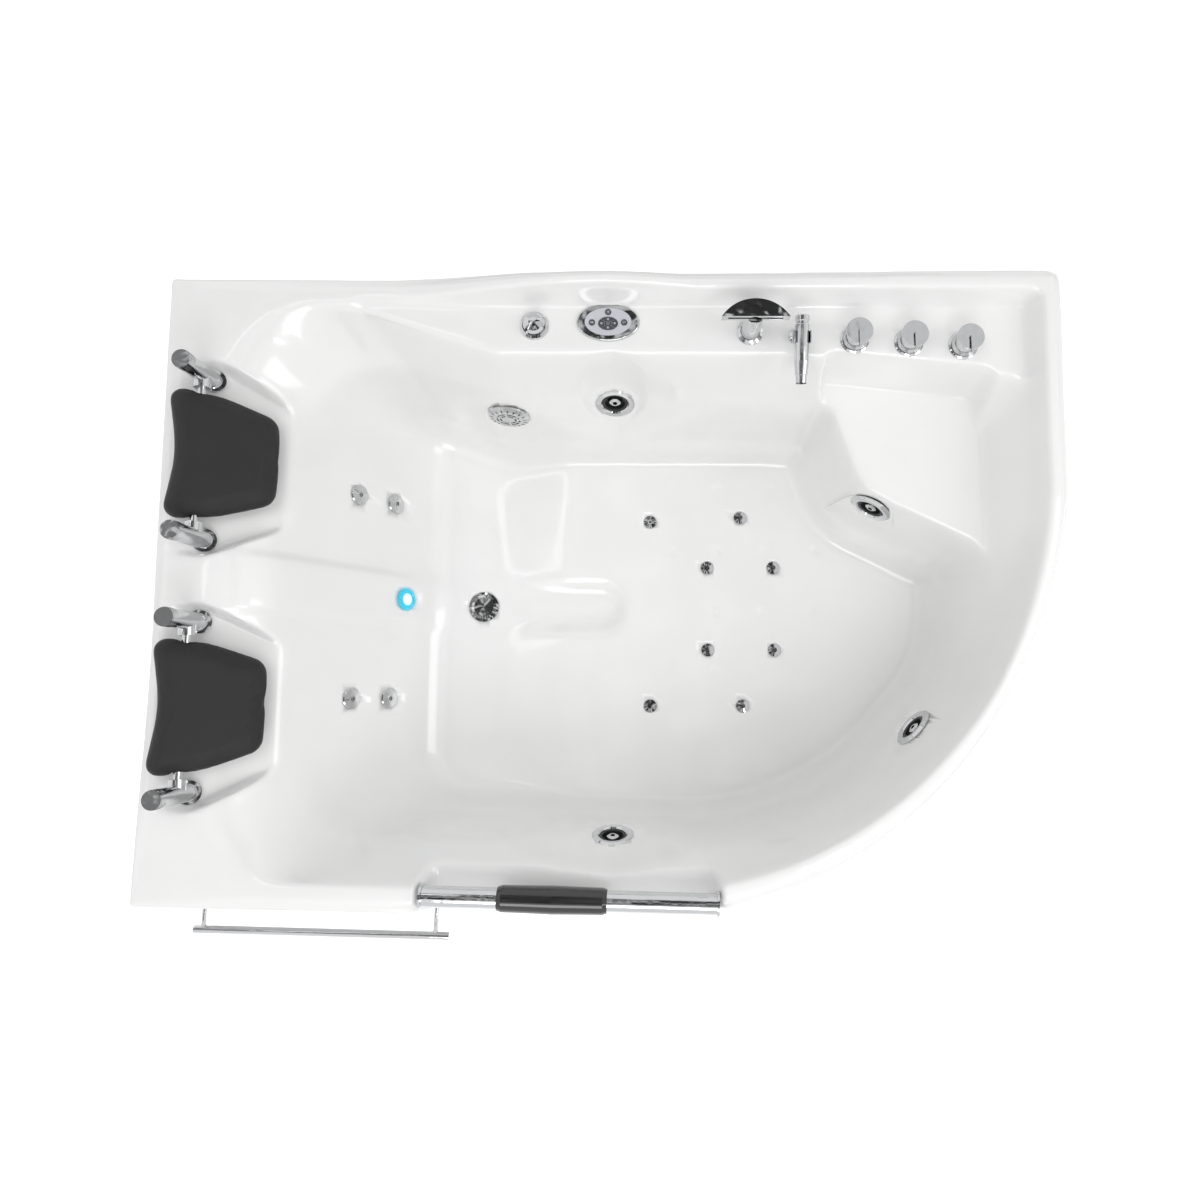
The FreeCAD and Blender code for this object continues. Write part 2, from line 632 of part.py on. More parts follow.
# ---------------------------------------------------------------- where the fittings sit
def wall_at(start, way):
    """Where a line from inside the basin meets its wall, and the way the wall faces there."""
    space = basin(0.0, 0.0)
    line = Part.makeLine(V(*start), V(*start) + V(*way) * HALF_L).common(space)
    hit = max((v.Point for v in line.Vertexes), key=lambda p: (p - V(*start)).Length)
    face = min(space.Faces, key=lambda f: f.distToShape(Part.Vertex(hit))[0])
    facing = face.normalAt(*face.Surface.parameter(hit))
    return hit, facing * -1.0


@functools.lru_cache
def jets():
    """The place and the way of each large jet."""
    places = {name: wall_at(start, way) for name, (start, way) in SIDE_JETS.items()}
    places["back"] = ridge(1.0, back_wall_y(), BACK_CHEVRON, CENTRE_JETS["back"])
    places["front"] = ridge(-1.0, front_wall_y(), FRONT_CHEVRON, CENTRE_JETS["front"])
    return places


@functools.lru_cache
def suction_place():
    return wall_at((SUCTION_AT[0], AXIS_Y, SUCTION_AT[1]), (0, 1, 0))


def backrest_way():
    a = math.radians(BACKREST_ANGLE)
    return V(math.sin(a), 0, math.cos(a))


def back_jet_places():
    return [(backrest_x(z), y, z) for y in BACK_JET_Y for z in BACK_JET_Z]


def light_place():
    return (backrest_x(LIGHT_Z) + CONSOLE_RISE, AXIS_Y, LIGHT_Z)


def valve_places():
    return [(VALVE_FIRST[0] + i * VALVE_STEP[0], VALVE_FIRST[1] + i * VALVE_STEP[1])
            for i in range(len(VALVE_NAMES))]


def shell_holes():
    """Every hole and flat pad that a fitting needs in the shell."""
    cuts = []
    deep = 4 * WALL
    back = WALL + 2.0 + deep
    clear = revolve([(0, -back), (JET_NUT_R + 1, -back), (JET_NUT_R + 1, -WALL - 2),
                     (JET_CUP_R + GAP, -WALL - 2), (JET_CUP_R + GAP, 0), (JET_R + GAP, 0),
                     (JET_R + GAP, HOLE_CLEAR), (0, HOLE_CLEAR)])
    cuts += [stand(clear, at, way) for at, way in jets().values()]
    for at in back_jet_places():
        neck = Part.makeCylinder(SMALL_NECK_R + GAP, 2 * deep, V(0, 0, -deep))
        cuts.append(stand(neck, at, backrest_way()))
    cuts.append(stand(Part.makeCylinder(LIGHT_R - 5 + GAP, 2 * deep, V(0, 0, -deep * 1.5)),
                      light_place(), backrest_way()))
    for x, y in AIR_JETS:
        cuts.append(stand(Part.makeCylinder(AIR_NECK_R + GAP, deep), (x, y, PLATEAU_Z - deep / 2)))
    neck = SMALL_NECK_R * 2
    clear = revolve([(0, -back), (neck + 11, -back), (neck + 11, -WALL - 2), (neck + GAP, -WALL - 2),
                     (neck + GAP, 0), (SUCTION_R + GAP, 0), (SUCTION_R + GAP, HOLE_CLEAR),
                     (0, HOLE_CLEAR)])
    cuts.append(stand(clear, *suction_place()))
    cuts.append(stand(Part.makeCylinder(DRAIN_PLUG_R + 3 + GAP, 2 * deep), DRAIN_AT + (FLOOR_Z - deep,)))
    cuts.append(deck_hole(Part.makeCylinder(AIR_KNOB_R, deep), AIR_KNOB_AT))
    cuts.append(deck_hole(Part.makeCylinder(SPOUT_R - 4, deep), SPOUT_AT))
    cuts.append(deck_hole(Part.makeCylinder(HOLDER_R - 6, deep), HOLDER_AT))
    for x, y in valve_places():
        cuts.append(deck_hole(Part.makeCylinder(VALVE_SHAFT_R + 5, deep), (x, y)))
    cuts.append(deck_hole(oval(FACE_HALF[0] + GAP, FACE_HALF[1] + GAP, deep), PANEL_AT))
    return cuts


def deck_hole(cutter, at):
    return stand(cutter, (at[0], at[1], DECK_Z - cutter.BoundBox.ZLength / 2))


def oval(half_x, half_y, height):
    """An elliptical disc."""
    edge = Part.Ellipse(V(), half_x, half_y).toShape()
    return Part.Face(Part.Wire(edge)).extrude(V(0, 0, height))


def dimple_cuts():
    """Shallow round anti-slip dimples in the raised floor."""
    dish = revolve([(0, -DIMPLE_DEPTH), (DIMPLE_R / 2, -DIMPLE_DEPTH), (DIMPLE_R, 0), (DIMPLE_R, 1),
                    (0, 1)])
    return [stand(dish, (x, y, PLATEAU_Z)) for x, y in DIMPLES]


def fitting_pads():
    """Flat pads in the wall for the large jets and the suction."""
    pad = revolve([(0, -JET_PAD_DEPTH), (JET_PAD_R, -JET_PAD_DEPTH), (JET_PAD_R, 0), (0, 0)])
    return [stand(pad, at, way) for at, way in list(jets().values()) + [suction_place()]]


def deck_space():
    """What the control deck is sunk by, up past the lip behind it."""
    x1 = HALF_L - RIGHT_RIM
    corners = [(DECK_START_X, -BACK_RIM, CORNER_R), (x1, -BACK_RIM, MOUTH_BACK_R),
               (x1, -DECK_END_DEPTH - 5.0, CORNER_R), (DECK_START_X, -DECK_DEPTH, CORNER_R)]
    return prism(corners, DECK_Z, RIM_Z + 3 * LIP_PEAK)


def tub_shell():
    slab = prism(outline(), SKIRT_Z, RIM_Z)
    hollow = prism(grow_corners(outline(), -WALL), SKIRT_Z - 1, DECK_Z - WALL)
    body = slab.cut(hollow)
    outside = basin(WALL, 0.0).cut(plateau(WALL)).fuse(channel(WALL))
    limit = prism(outline(), FLOOR_Z - 40, RIM_Z)
    trays = [pocket(y, WALL).common(limit) for y in LANES]
    body = body.fuse([outside, notch(WALL).common(limit), seat_back(WALL).common(limit)] + trays
                     + [c.common(limit) for c in chevrons(WALL)])
    body = body.fuse(lips(0.0, DECK_Z - WALL / 2)).cut(lips(WALL, SKIRT_Z))
    inside = basin(0.0, 0.0)
    strip = box(-HALF_L, PLATEAU_START_X, AXIS_Y - CONSOLE_W / 2, AXIS_Y + CONSOLE_W / 2, 0, RIM_Z + 1)
    console = inside.common(strip).cut(basin(0.0, CONSOLE_RISE))
    inside = inside.cut(console).cut(plateau(0.0)).fuse(channel(0.0))
    body = body.cut([inside, deck_space(), notch(0.0), seat_back(0.0)] + chevrons(0.0))
    body = body.cut([pocket(y, 0.0) for y in LANES])
    body = body.fuse(fitting_pads()).cut(shell_holes() + dimple_cuts())
    return body.removeSplitter()


# ---------------------------------------------------------------- pillows and their posts
def post_places():
    return [(POST_X, lane + side * POST_SPAN / 2) for lane in LANES for side in (1, -1)]


def pillow(lane_y):
    """A headrest cushion: a rounded trapezoid with a crown, bored at both ends for its pins."""
    levels = ((-0.5, 0.78), (-0.3, 0.95), (0.0, 1.0), (0.28, 0.93), (0.5, 0.72))
    sections = []
    for height, share in levels:
        shrink = PILLOW_ROLL * (1 - share) / (1 - levels[0][1])
        half_top = PILLOW_TOP_W / 2
        half_low = PILLOW_LOW_W / 2
        waist = PILLOW_WAIST * PILLOW_FRONT
        side = half_top - PILLOW_WAIST_IN
        corners = [(-PILLOW_BACK, half_top, PILLOW_EDGE_R), (waist, side, PILLOW_SIDE_R),
                   (PILLOW_FRONT, half_low, PILLOW_LOW_R), (PILLOW_FRONT, -half_low, PILLOW_LOW_R),
                   (waist, -side, PILLOW_SIDE_R), (-PILLOW_BACK, -half_top, PILLOW_EDGE_R),
                   (-PILLOW_BACK + PILLOW_DISH, 0.0, PILLOW_DISH_R)]
        sections.append((grow_corners(corners, -shrink), height * PILLOW_THICK))
    body = loft(sections)
    bore = Part.makeCylinder(PIN_R + RUN, PIN_DEPTH + 60.0, V(0, -PIN_DEPTH, 0), Y_AXIS)
    for side in (1, -1):
        end = bore.copy()
        if side < 0:
            end = end.mirror(V(), Y_AXIS)
        end.translate(V(0, side * pillow_half_width(), 0))
        body = body.cut(end)
    body.rotate(V(), Y_AXIS, PILLOW_TILT)
    body.translate(V(POST_X, lane_y, PILLOW_AXIS_Z))
    return body


def pillow_half_width():
    """Half the pillow's width beside its tilting axis, where the post's neck ends."""
    share = (PILLOW_BACK - NECK_R) / (PILLOW_BACK + PILLOW_WAIST * PILLOW_FRONT)
    return PILLOW_TOP_W / 2 - PILLOW_WAIST_IN * share


def pocket_floor():
    """Height of the pocket's floor under a post's axis, and the way the floor faces."""
    a = math.radians(PILLOW_TILT)
    return PILLOW_AXIS_Z - POCKET_BELOW / math.cos(a), V(math.sin(a), 0, math.cos(a))


def pillow_posts():
    """Four upright posts on sloping foot rings, each with a neck and a pin towards its pillow."""
    floor_z, up = pocket_floor()
    foot = V(0, 0, floor_z) + up * GAP
    ring = Part.makeCylinder(POST_RING_R, POST_RING_H, foot, up)
    below = Part.makeCylinder(2 * POST_RING_R, 2 * POST_RING_R, foot, up * -1.0)
    column = Part.makeCylinder(POST_R, POST_TOP_Z - floor_z + POST_RING_R, V(0, 0, floor_z - POST_RING_R))
    reach = POST_SPAN / 2 - pillow_half_width() - GAP
    neck = Part.makeCylinder(NECK_R, reach, V(0, 0, PILLOW_AXIS_Z), Y_AXIS)
    pin = Part.makeCylinder(PIN_R, reach + PIN_DEPTH, V(0, 0, PILLOW_AXIS_Z), Y_AXIS)
    post = column.fuse([ring, neck, pin]).cut(below)
    posts = []
    for i, (x, y) in enumerate(post_places()):
        turned = post.mirror(V(), Y_AXIS) if i % 2 == 0 else post
        posts.append(turned.translated(V(x, y, 0)))
    return group(posts)


# ---------------------------------------------------------------- jets
def jet_rings():
    """The chrome faces of the four large jets."""
    ring = revolve([(JET_CUP_R + GAP, GAP), (JET_R, GAP), (JET_R, 2.5), (JET_R - 5.0, JET_RING_H),
                    (JET_CUP_R + 3.0, JET_RING_H - 1.0), (JET_CUP_R + GAP, 3.0)])
    return group([stand(ring, at, way) for at, way in jets().values()])


def jet_bodies():
    """The cups behind them, with the socket of the swivelling nozzle and the pipe stub."""
    nut_top = -WALL - 2.0 - GAP
    socket_r = BALL_R + GAP
    z = BALL_SWIVEL_Z
    cup = revolve([(0, -JET_LENGTH), (JET_NUT_R - 12, -JET_LENGTH), (JET_NUT_R - 12, nut_top - 16),
                   (JET_NUT_R, nut_top - 16), (JET_NUT_R, nut_top), (JET_CUP_R, nut_top),
                   (JET_CUP_R, 2.0), (JET_BORE_R, 2.0), (JET_BORE_R, z + 3), (socket_r, z + 3),
                   (socket_r, z - 3), (JET_BORE_R, z - 3), (JET_BORE_R, -JET_LENGTH + 14),
                   (0, -JET_LENGTH + 14)])
    return group([stand(cup, at, way) for at, way in jets().values()])


def jet_nozzle(name):
    """One eyeball nozzle, turning about the middle of its ball."""
    at, way = jets()[name]
    z = BALL_SWIVEL_Z
    ball = revolve([(5.0, z - 11), (11.5, z - 11), (BALL_R, z), (12.0, z + 11), (8.0, z + 13),
                    (5.0, z + 13)])
    return stand(ball, at, way)


def small_jet(face_r, height, neck_r, bore_r, length):
    """A small fixed jet: a domed face with its outlet, on a neck."""
    face = [(bore_r, GAP), (face_r, GAP), (face_r - 1.5, height * 0.6), (bore_r + 3.0, height),
            (bore_r, height)]
    return revolve(face), revolve([(bore_r, GAP), (bore_r, -length + 6), (0, -length + 6), (0, -length),
                                   (neck_r + 5, -length), (neck_r + 5, -WALL - 4), (neck_r, -WALL - 4),
                                   (neck_r, GAP)])


def small_jets():
    face, body = small_jet(SMALL_JET_R, SMALL_JET_H, SMALL_NECK_R, 5.0, 42.0)
    way = backrest_way()
    return (group([stand(face, at, way) for at in back_jet_places()]),
            group([stand(body, at, way) for at in back_jet_places()]))


def air_jets():
    face, body = small_jet(AIR_JET_R, AIR_JET_H, AIR_NECK_R, 3.0, 24.0)
    places = [(x, y, PLATEAU_Z) for x, y in AIR_JETS]
    return (group([stand(face, at) for at in places]), group([stand(body, at) for at in places]))


# ---------------------------------------------------------------- light, suction, drain
def light_bezel():
    ring = revolve([(LIGHT_R - 7, GAP), (LIGHT_R, GAP), (LIGHT_R - 1, 3.0), (LIGHT_R - 6, 4.0),
                    (LIGHT_R - 7, 3.0)])
    return stand(ring, light_place(), backrest_way())


def light_lens():
    lens = revolve([(0, -4.0), (LIGHT_R - 7 - GAP, -4.0), (LIGHT_R - 7 - GAP, 2.4), (0, 3.6)])
    return stand(lens, light_place(), backrest_way())


def light_housing():
    neck = LIGHT_R - 5
    cup = revolve([(0, -34.0), (neck + 5, -34.0), (neck + 5, -22.0), (neck, -22.0), (neck, 0.0),
                   (neck - 2 + GAP, 0.0), (neck - 2 + GAP, -4.0 - GAP), (0, -4.0 - GAP)])
    return stand(cup, light_place(), backrest_way())


def suction_cover():
    """The grille over the suction, with slots round its rim and across its face."""
    disc = revolve([(0, 6.0), (0, 10.0), (SUCTION_R - 8, 9.0), (SUCTION_R, 4.0), (SUCTION_R, GAP),
                    (SUCTION_R - 3, GAP), (SUCTION_R - 3, 4.0), (SUCTION_R - 9, 6.0)])
    slots = []
    for i in range(18):
        slot = box(SUCTION_R - 13, SUCTION_R - 5, -1.4, 1.4, 2.0, 12.0)
        slot.rotate(V(), Z_AXIS, i * 20.0)
        slots.append(slot)
    for ring_r in (14.0, 22.0):
        band = revolve([(ring_r, 3.0), (ring_r + 4.0, 3.0), (ring_r + 4.0, 12.0), (ring_r, 12.0)])
        bars = [box(-60, 60, -2.0, 2.0, 0, 14).rotated(V(), Z_AXIS, a) for a in (30.0, 90.0, 150.0)]
        slots.append(band.cut(bars))
    return stand(disc.cut(slots), *suction_place())


def suction_body():
    neck = SMALL_NECK_R * 2
    back = -WALL - 2.0 - GAP
    body = revolve([(neck - 3, 0.0), (neck, 0.0), (neck, back), (neck + 10, back), (neck + 10, -22.0),
                    (neck + 2, -22.0), (neck + 2, -SUCTION_LENGTH), (0, -SUCTION_LENGTH),
                    (0, -SUCTION_LENGTH + 8), (neck - 3, -SUCTION_LENGTH + 8)])
    hub = revolve([(0, -SUCTION_LENGTH + 7), (4.0, -SUCTION_LENGTH + 7), (4.0, 5.7), (0, 5.7)])
    return stand(body.fuse(hub), *suction_place())


def drain_flange():
    bore = DRAIN_PLUG_R + GAP
    ring = revolve([(bore, GAP), (DRAIN_R, GAP), (DRAIN_R - 1, 2.4), (bore, 3.2)])
    return stand(ring, DRAIN_AT + (FLOOR_Z,))


def drain_plug():
    """The push-open plug on its stem."""
    plug = revolve([(0, 4.6), (DRAIN_PLUG_R - 6, 4.2), (DRAIN_PLUG_R, 2.8), (DRAIN_PLUG_R, -1.0),
                    (DRAIN_PLUG_R - 4, -3.0), (4.0, -3.0), (4.0, -30.0), (0, -30.0)])
    return stand(plug, DRAIN_AT + (FLOOR_Z,))


def drain_body():
    """The waste under the floor: a seat for the plug, a guide for its stem and the outlet pipe."""
    outer = DRAIN_PLUG_R + 3
    z = FLOOR_Z
    low = DRAIN_OUTLET_Z - DRAIN_PIPE_R - DRAIN_SHOULDER - 1
    cup = Part.makeCylinder(outer, z - low, V(0, 0, low)).cut(
        Part.makeCylinder(outer - 3, z - low - 4, V(0, 0, low + 4)))
    nut = Part.makeCylinder(outer + 7, 8.0, V(0, 0, z - WALL - 8 - GAP)).cut(
        Part.makeCylinder(outer - 3, 8.0, V(0, 0, z - WALL - 8 - GAP)))
    bridge = box(-outer + 1, outer - 1, -3.5, 3.5, z - 26, z - 20).fuse(
        Part.makeCylinder(8.0, 14.0, V(0, 0, z - 30)))
    guide = Part.makeCylinder(4.0 + RUN, 40.0, V(0, 0, z - 45))
    length = DRAIN_OUTLET_Y - DRAIN_AT[1]
    start = V(0, 0, DRAIN_OUTLET_Z)
    shoulder = Part.makeCylinder(DRAIN_PIPE_R + DRAIN_SHOULDER, length - DRAIN_SPIGOT, start, Y_AXIS)
    pipe = Part.makeCylinder(DRAIN_PIPE_R, length, start, Y_AXIS).fuse(shoulder)
    bore = Part.makeCylinder(DRAIN_PIPE_R - 3, length, V(0, 0, DRAIN_OUTLET_Z), Y_AXIS)
    body = cup.fuse([nut, pipe, bridge]).cut([bore, guide])
    return stand(body, DRAIN_AT + (0,))


# ---------------------------------------------------------------- control panel
def panel_bezel():
    ring = oval(PANEL_HALF[0], PANEL_HALF[1], PANEL_H)
    edge = [e for e in ring.Edges if e.BoundBox.ZMin > PANEL_H - 0.1 and e.BoundBox.ZLength < 0.1]
    ring = ring.makeFillet(3.0, edge)
    ring = ring.cut(oval(FACE_HALF[0] + GAP, FACE_HALF[1] + GAP, 3 * PANEL_H))
    return stand(ring, PANEL_AT + (DECK_Z + GAP,))


def pad_keys(grow):
    """The oval key pad: a hub and four sectors, at the panel's height zero."""
    tall = 4.0 + KEY_RISE + KEY_TRAVEL
    disc = oval(PAD_HALF[0] + grow, PAD_HALF[1] + grow, tall)
    hub = oval(PAD_HUB_HALF[0] + grow, PAD_HUB_HALF[1] + grow, tall)
    hole = oval(PAD_HUB_HALF[0] + PAD_SPLIT - grow, PAD_HUB_HALF[1] + PAD_SPLIT - grow, tall)
    angle = math.degrees(math.atan2(PAD_HALF[1], PAD_HALF[0]))
    half = PAD_SPLIT / 2 - grow
    bars = [box(-40, 40, -half, half, 0, tall).rotated(V(), Z_AXIS, a) for a in (angle, -angle)]
    sectors = disc.cut([hole] + bars).Solids
    named = {"key_hub": hub}
    for solid in sectors:
        c = solid.CenterOfMass
        if abs(c.x) > abs(c.y):
            named["key_right" if c.x > 0 else "key_left"] = solid
        else:
            named["key_up" if c.y > 0 else "key_down"] = solid
    for name, solid in named.items():
        named[name] = solid.translated(V(0, PAD_Y, 0))
    return named


def round_keys(grow):
    tall = 4.0 + KEY_RISE + KEY_TRAVEL
    return {"key_" + name: Part.makeCylinder(ROUND_KEY_R + grow, tall, V(x, y, 0))
            for name, (x, y) in ROUND_KEYS.items()}


def panel_keys():
    """The eight keys, each standing a little out of the face."""
    base = DECK_Z + PANEL_H - 4.0 - KEY_TRAVEL
    keys = {**pad_keys(0.0), **round_keys(0.0)}
    return {name: stand(solid, PANEL_AT + (base,)) for name, solid in keys.items()}


def panel_face():
    plate = oval(FACE_HALF[0], FACE_HALF[1], 4.0)
    holes = list(pad_keys(GAP / 2).values()) + list(round_keys(GAP / 2).values())
    holes = [h.translated(V(0, 0, -1.0)) for h in holes]
    return stand(plate.cut(holes), PANEL_AT + (DECK_Z + PANEL_H - 4.0,))


def panel_housing():
    """The sealed box of the electronics under the face."""
    top = DECK_Z + PANEL_H - 4.0 - 2 * KEY_TRAVEL - GAP
    body = oval(FACE_HALF[0], FACE_HALF[1], 34.0).fuse(oval(FACE_HALF[0] - 6, FACE_HALF[1] - 6, 40.0))
    return stand(body, PANEL_AT + (top - 40.0,))


# ---------------------------------------------------------------- taps on the deck
def air_knob_base():
    bore = AIR_KNOB_R - 8
    base = revolve([(bore, -30.0), (AIR_KNOB_R - 1, -30.0), (AIR_KNOB_R - 1, GAP), (AIR_RING_R, GAP),
                    (AIR_RING_R - 1, 6.0), (AIR_RING_R - 5, 8.0), (bore, 8.0)])
    return stand(base, AIR_KNOB_AT + (DECK_Z,))


def air_knob():
    stem = AIR_KNOB_R - 8 - RUN
    knob = revolve([(0, -20.0), (stem, -20.0), (stem, 8.0 + GAP), (AIR_KNOB_R, 8.0 + GAP),
                    (AIR_KNOB_R, 14.0), (AIR_KNOB_R - 4, 19.0), (AIR_KNOB_R - 12, 22.0), (0, 23.0)])
    cut = box(4.0, 13.0, -3.0, 3.0, 19.0, 30.0)
    return stand(knob.cut(cut), AIR_KNOB_AT + (DECK_Z,))


def waterfall_spout():
    """The broad spout head: a curved back, a straight front with the water's slot."""
    half = SPOUT_HEAD_W / 2
    front = -SPOUT_HEAD_D * 0.35
    back = SPOUT_HEAD_D * 0.65
    side = V(half, front, 0)
    arc = Part.Arc(side, V(0, back, 0), V(-half, front, 0)).toShape()
    line = Part.LineSegment(V(-half, front, 0), side).toShape()
    head = Part.Face(Part.Wire([arc, line])).extrude(V(0, 0, SPOUT_HEAD_H))
    slot = box(-half + 12, half - 12, front - 1, front + 14, SPOUT_HEAD_H * 0.35, SPOUT_HEAD_H * 0.65)
    head = head.cut(slot)
    head.translate(V(0, 0, SPOUT_H - SPOUT_HEAD_H))
    column = Part.makeCylinder(SPOUT_R, SPOUT_H - SPOUT_HEAD_H + 2.0 - 8.0, V(0, 0, 8.0))
    tail = Part.makeCylinder(SPOUT_R - 5, 60.0, V(0, 0, -52.0))
    return stand(head.fuse([column, tail]), SPOUT_AT + (DECK_Z,))


def spout_flange():
    ring = revolve([(SPOUT_R - 5 + GAP, GAP), (SPOUT_FLANGE_R, GAP), (SPOUT_FLANGE_R, 4.0),
                    (SPOUT_R + 1, 7.7), (SPOUT_R - 5 + GAP, 7.7)])
    return stand(ring, SPOUT_AT + (DECK_Z,))


def valve_escutcheons():
    ring = revolve([(VALVE_SHAFT_R + 1, GAP), (VALVE_ESC_R, GAP), (VALVE_ESC_R, 3.0),
                    (VALVE_ESC_R - 3, 5.0), (VALVE_SHAFT_R + 1, 5.0)])
    return group([stand(ring, at + (DECK_Z,)) for at in valve_places()])


def valve_knob(index):
    """A tap knob: a waisted barrel under a flat disc, with a fin to turn it by."""
    top = 5.0 + GAP + VALVE_KNOB_H
    knob = revolve([(0, 5.0 + GAP), (VALVE_DISC_R - 2, 5.0 + GAP), (VALVE_DISC_R - 5, 14.0),
                    (VALVE_DISC_R - 5, top - 10.0), (VALVE_DISC_R, top - 6.0), (VALVE_DISC_R, top),
                    (0, top)])
    bore = Part.makeCylinder(VALVE_SHAFT_R + RUN, VALVE_BORE, V(0, 0, 5.0))
    w, length, h = VALVE_FIN
    fin = box(-w / 2, w / 2, -length, 0, top - 1, top + h)
    edges = [e for e in fin.Edges if e.BoundBox.ZLength > h - 0.1 and e.BoundBox.YMax < -1]
    fin = fin.makeFillet(w * 0.4, edges)
    return stand(knob.cut(bore).fuse(fin), valve_places()[index] + (DECK_Z,))


def valve_bodies():
    """The cartridges under the deck, with their shafts and threaded tails."""
    shaft_top = 5.0 + VALVE_BORE - GAP
    under = -WALL - GAP
    body = revolve([(0, shaft_top), (VALVE_SHAFT_R, shaft_top), (VALVE_SHAFT_R, under),
                    (VALVE_SHAFT_R + 7, under), (VALVE_SHAFT_R + 7, -42.0), (TAIL_R, -42.0),
                    (TAIL_R, -84.0), (0, -84.0)])
    return group([stand(body, at + (DECK_Z,)) for at in valve_places()])


# ---------------------------------------------------------------- hand shower
def handset_way():
    """Along the handset, from its tip up to its head."""
    a = math.radians(HANDSET_TILT)
    return V(0, math.cos(a), math.sin(a))


def handset_up():
    a = math.radians(HANDSET_TILT)
    return V(0, -math.sin(a), math.cos(a))


def cradle_place():
    return V(HOLDER_AT[0], CRADLE_Y, CRADLE_Z)


def handset_holder():
    """A stem on a flange, with an open cradle that the handset lies in."""
    stem = revolve([(0, -WALL - 36), (HOLDER_R - 7, -WALL - 36), (HOLDER_R - 7, 0), (HOLDER_R - 7, GAP),
                    (HOLDER_R, GAP), (HOLDER_R - 1, 5.0), (HOLDER_R - 6, 8.0), (HOLDER_R - 8, 12.0),
                    (HOLDER_R - 8, CRADLE_Z - DECK_Z - 26.0), (0, CRADLE_Z - DECK_Z - 26.0)])
    stem = stand(stem, HOLDER_AT + (DECK_Z,))
    wall = 4.0
    outer = HANDSET_R + GAP + wall
    middle = cradle_place()
    way = handset_way()
    tube = Part.makeCylinder(outer, 22.0, middle - way * 11.0, way)
    bore = Part.makeCylinder(HANDSET_R + GAP, 60.0, middle - way * 30.0, way)
    opening = Part.makeBox(2 * HANDSET_R + 2 * GAP, 60, 60, V(-HANDSET_R - GAP, -30, 0))
    opening.rotate(V(), X_AXIS, HANDSET_TILT)
    opening.translate(middle)
    top = V(HOLDER_AT[0], HOLDER_AT[1], CRADLE_Z - 26.0)
    strut = rod(top - V(0, 0, 10), middle - handset_up() * (HANDSET_R + 6.0), HOLDER_R - 8)
    return stem.fuse([strut, tube]).cut([bore, opening])


def handset():
    """The hand shower: head, collar and a handle that tapers to the hose ferrule."""
    r = HANDSET_R
    back, front = HANDSET_BACK, HANDSET_FRONT
    bar = revolve([(0, -front), (r - 4, -front), (r - 3, -front + 14), (r - 2, -front + 15), (r, -front + 40),
                   (r, back - 18), (r - 1.5, back - 16), (r - 1.5, back - 12), (r, back - 10),
                   (r, back - 2), (r - 2, back), (0, back)])
    return stand(bar, cradle_place(), handset_way())


# ---------------------------------------------------------------- rails on the rim and apron
def edge_way():
    """Along the front edge, towards the right."""
    return V(1, -FRONT_SLOPE, 0).normalize()


def rail_point(x):
    return V(x, front_y(x) + RAIL_IN, RAIL_Z)


def rail_ends():
    return rail_point(NOTCH_LEFT_X), rail_point(NOTCH_LEFT_X + NOTCH_W)


def rail_end_gap():
    """Clearance of the slanting end faces from the notch's square ends."""
    return GAP + RAIL_FLANGE_R * FRONT_SLOPE


def rail_tube():
    """The straight grab bar across the notch, hollow."""
    left, right = rail_ends()
    way = edge_way()
    a = left + way * rail_end_gap()
    b = right - way * rail_end_gap()
    return rod(a, b, RAIL_R).cut(rod(a - way, b + way, RAIL_R - 1.5))


def rail_flanges():
    left, right = rail_ends()
    way = edge_way()
    rings = []
    for at, out in ((left, 1), (right, -1)):
        a = at + way * out * rail_end_gap()
        b = a + way * out * RAIL_FLANGE_T
        rings.append(rod(a, b, RAIL_FLANGE_R).cut(rod(a - way * out, b + way * out, RAIL_R + RUN)))
    return group(rings)


def rail_grip():
    """The moulded black grip round the middle of the bar, thicker in its middle."""
    x0, x1 = GRIP_X
    length = (x1 - x0) / edge_way().x
    r = RAIL_R + RUN
    grip = revolve([(r, 0), (GRIP_R - 4, 0), (GRIP_R - 1.5, 8), (GRIP_R - 1, length * 0.25),
                    (GRIP_R, length * 0.5), (GRIP_R - 1, length * 0.75), (GRIP_R - 1.5, length - 8),
                    (GRIP_R - 4, length), (r, length)])
    return stand(grip, rail_point(x0), edge_way())


def towel_point(x, out):
    """A point level with the towel bar, this far out from the rim's front edge."""
    return V(x, front_y(x), TOWEL_Z) + V(-FRONT_SLOPE, -1, 0).normalize() * out


def towel_bar():
    return rod(towel_point(TOWEL_X[0], TOWEL_STAND), towel_point(TOWEL_X[1], TOWEL_STAND), TOWEL_R)


def towel_posts():
    posts = []
    bar = rod(towel_point(TOWEL_X[0], TOWEL_STAND), towel_point(TOWEL_X[1], TOWEL_STAND), TOWEL_R + RUN)
    for x in TOWEL_POST_X:
        base = towel_point(x, -APRON_IN + GAP)
        tip = towel_point(x, TOWEL_STAND)
        rose = Part.makeCone(12.0, TOWEL_POST_R, 10.0, base, tip - base)
        posts.append(rod(base, tip, TOWEL_POST_R).fuse(rose).cut(bar))
    return group(posts)


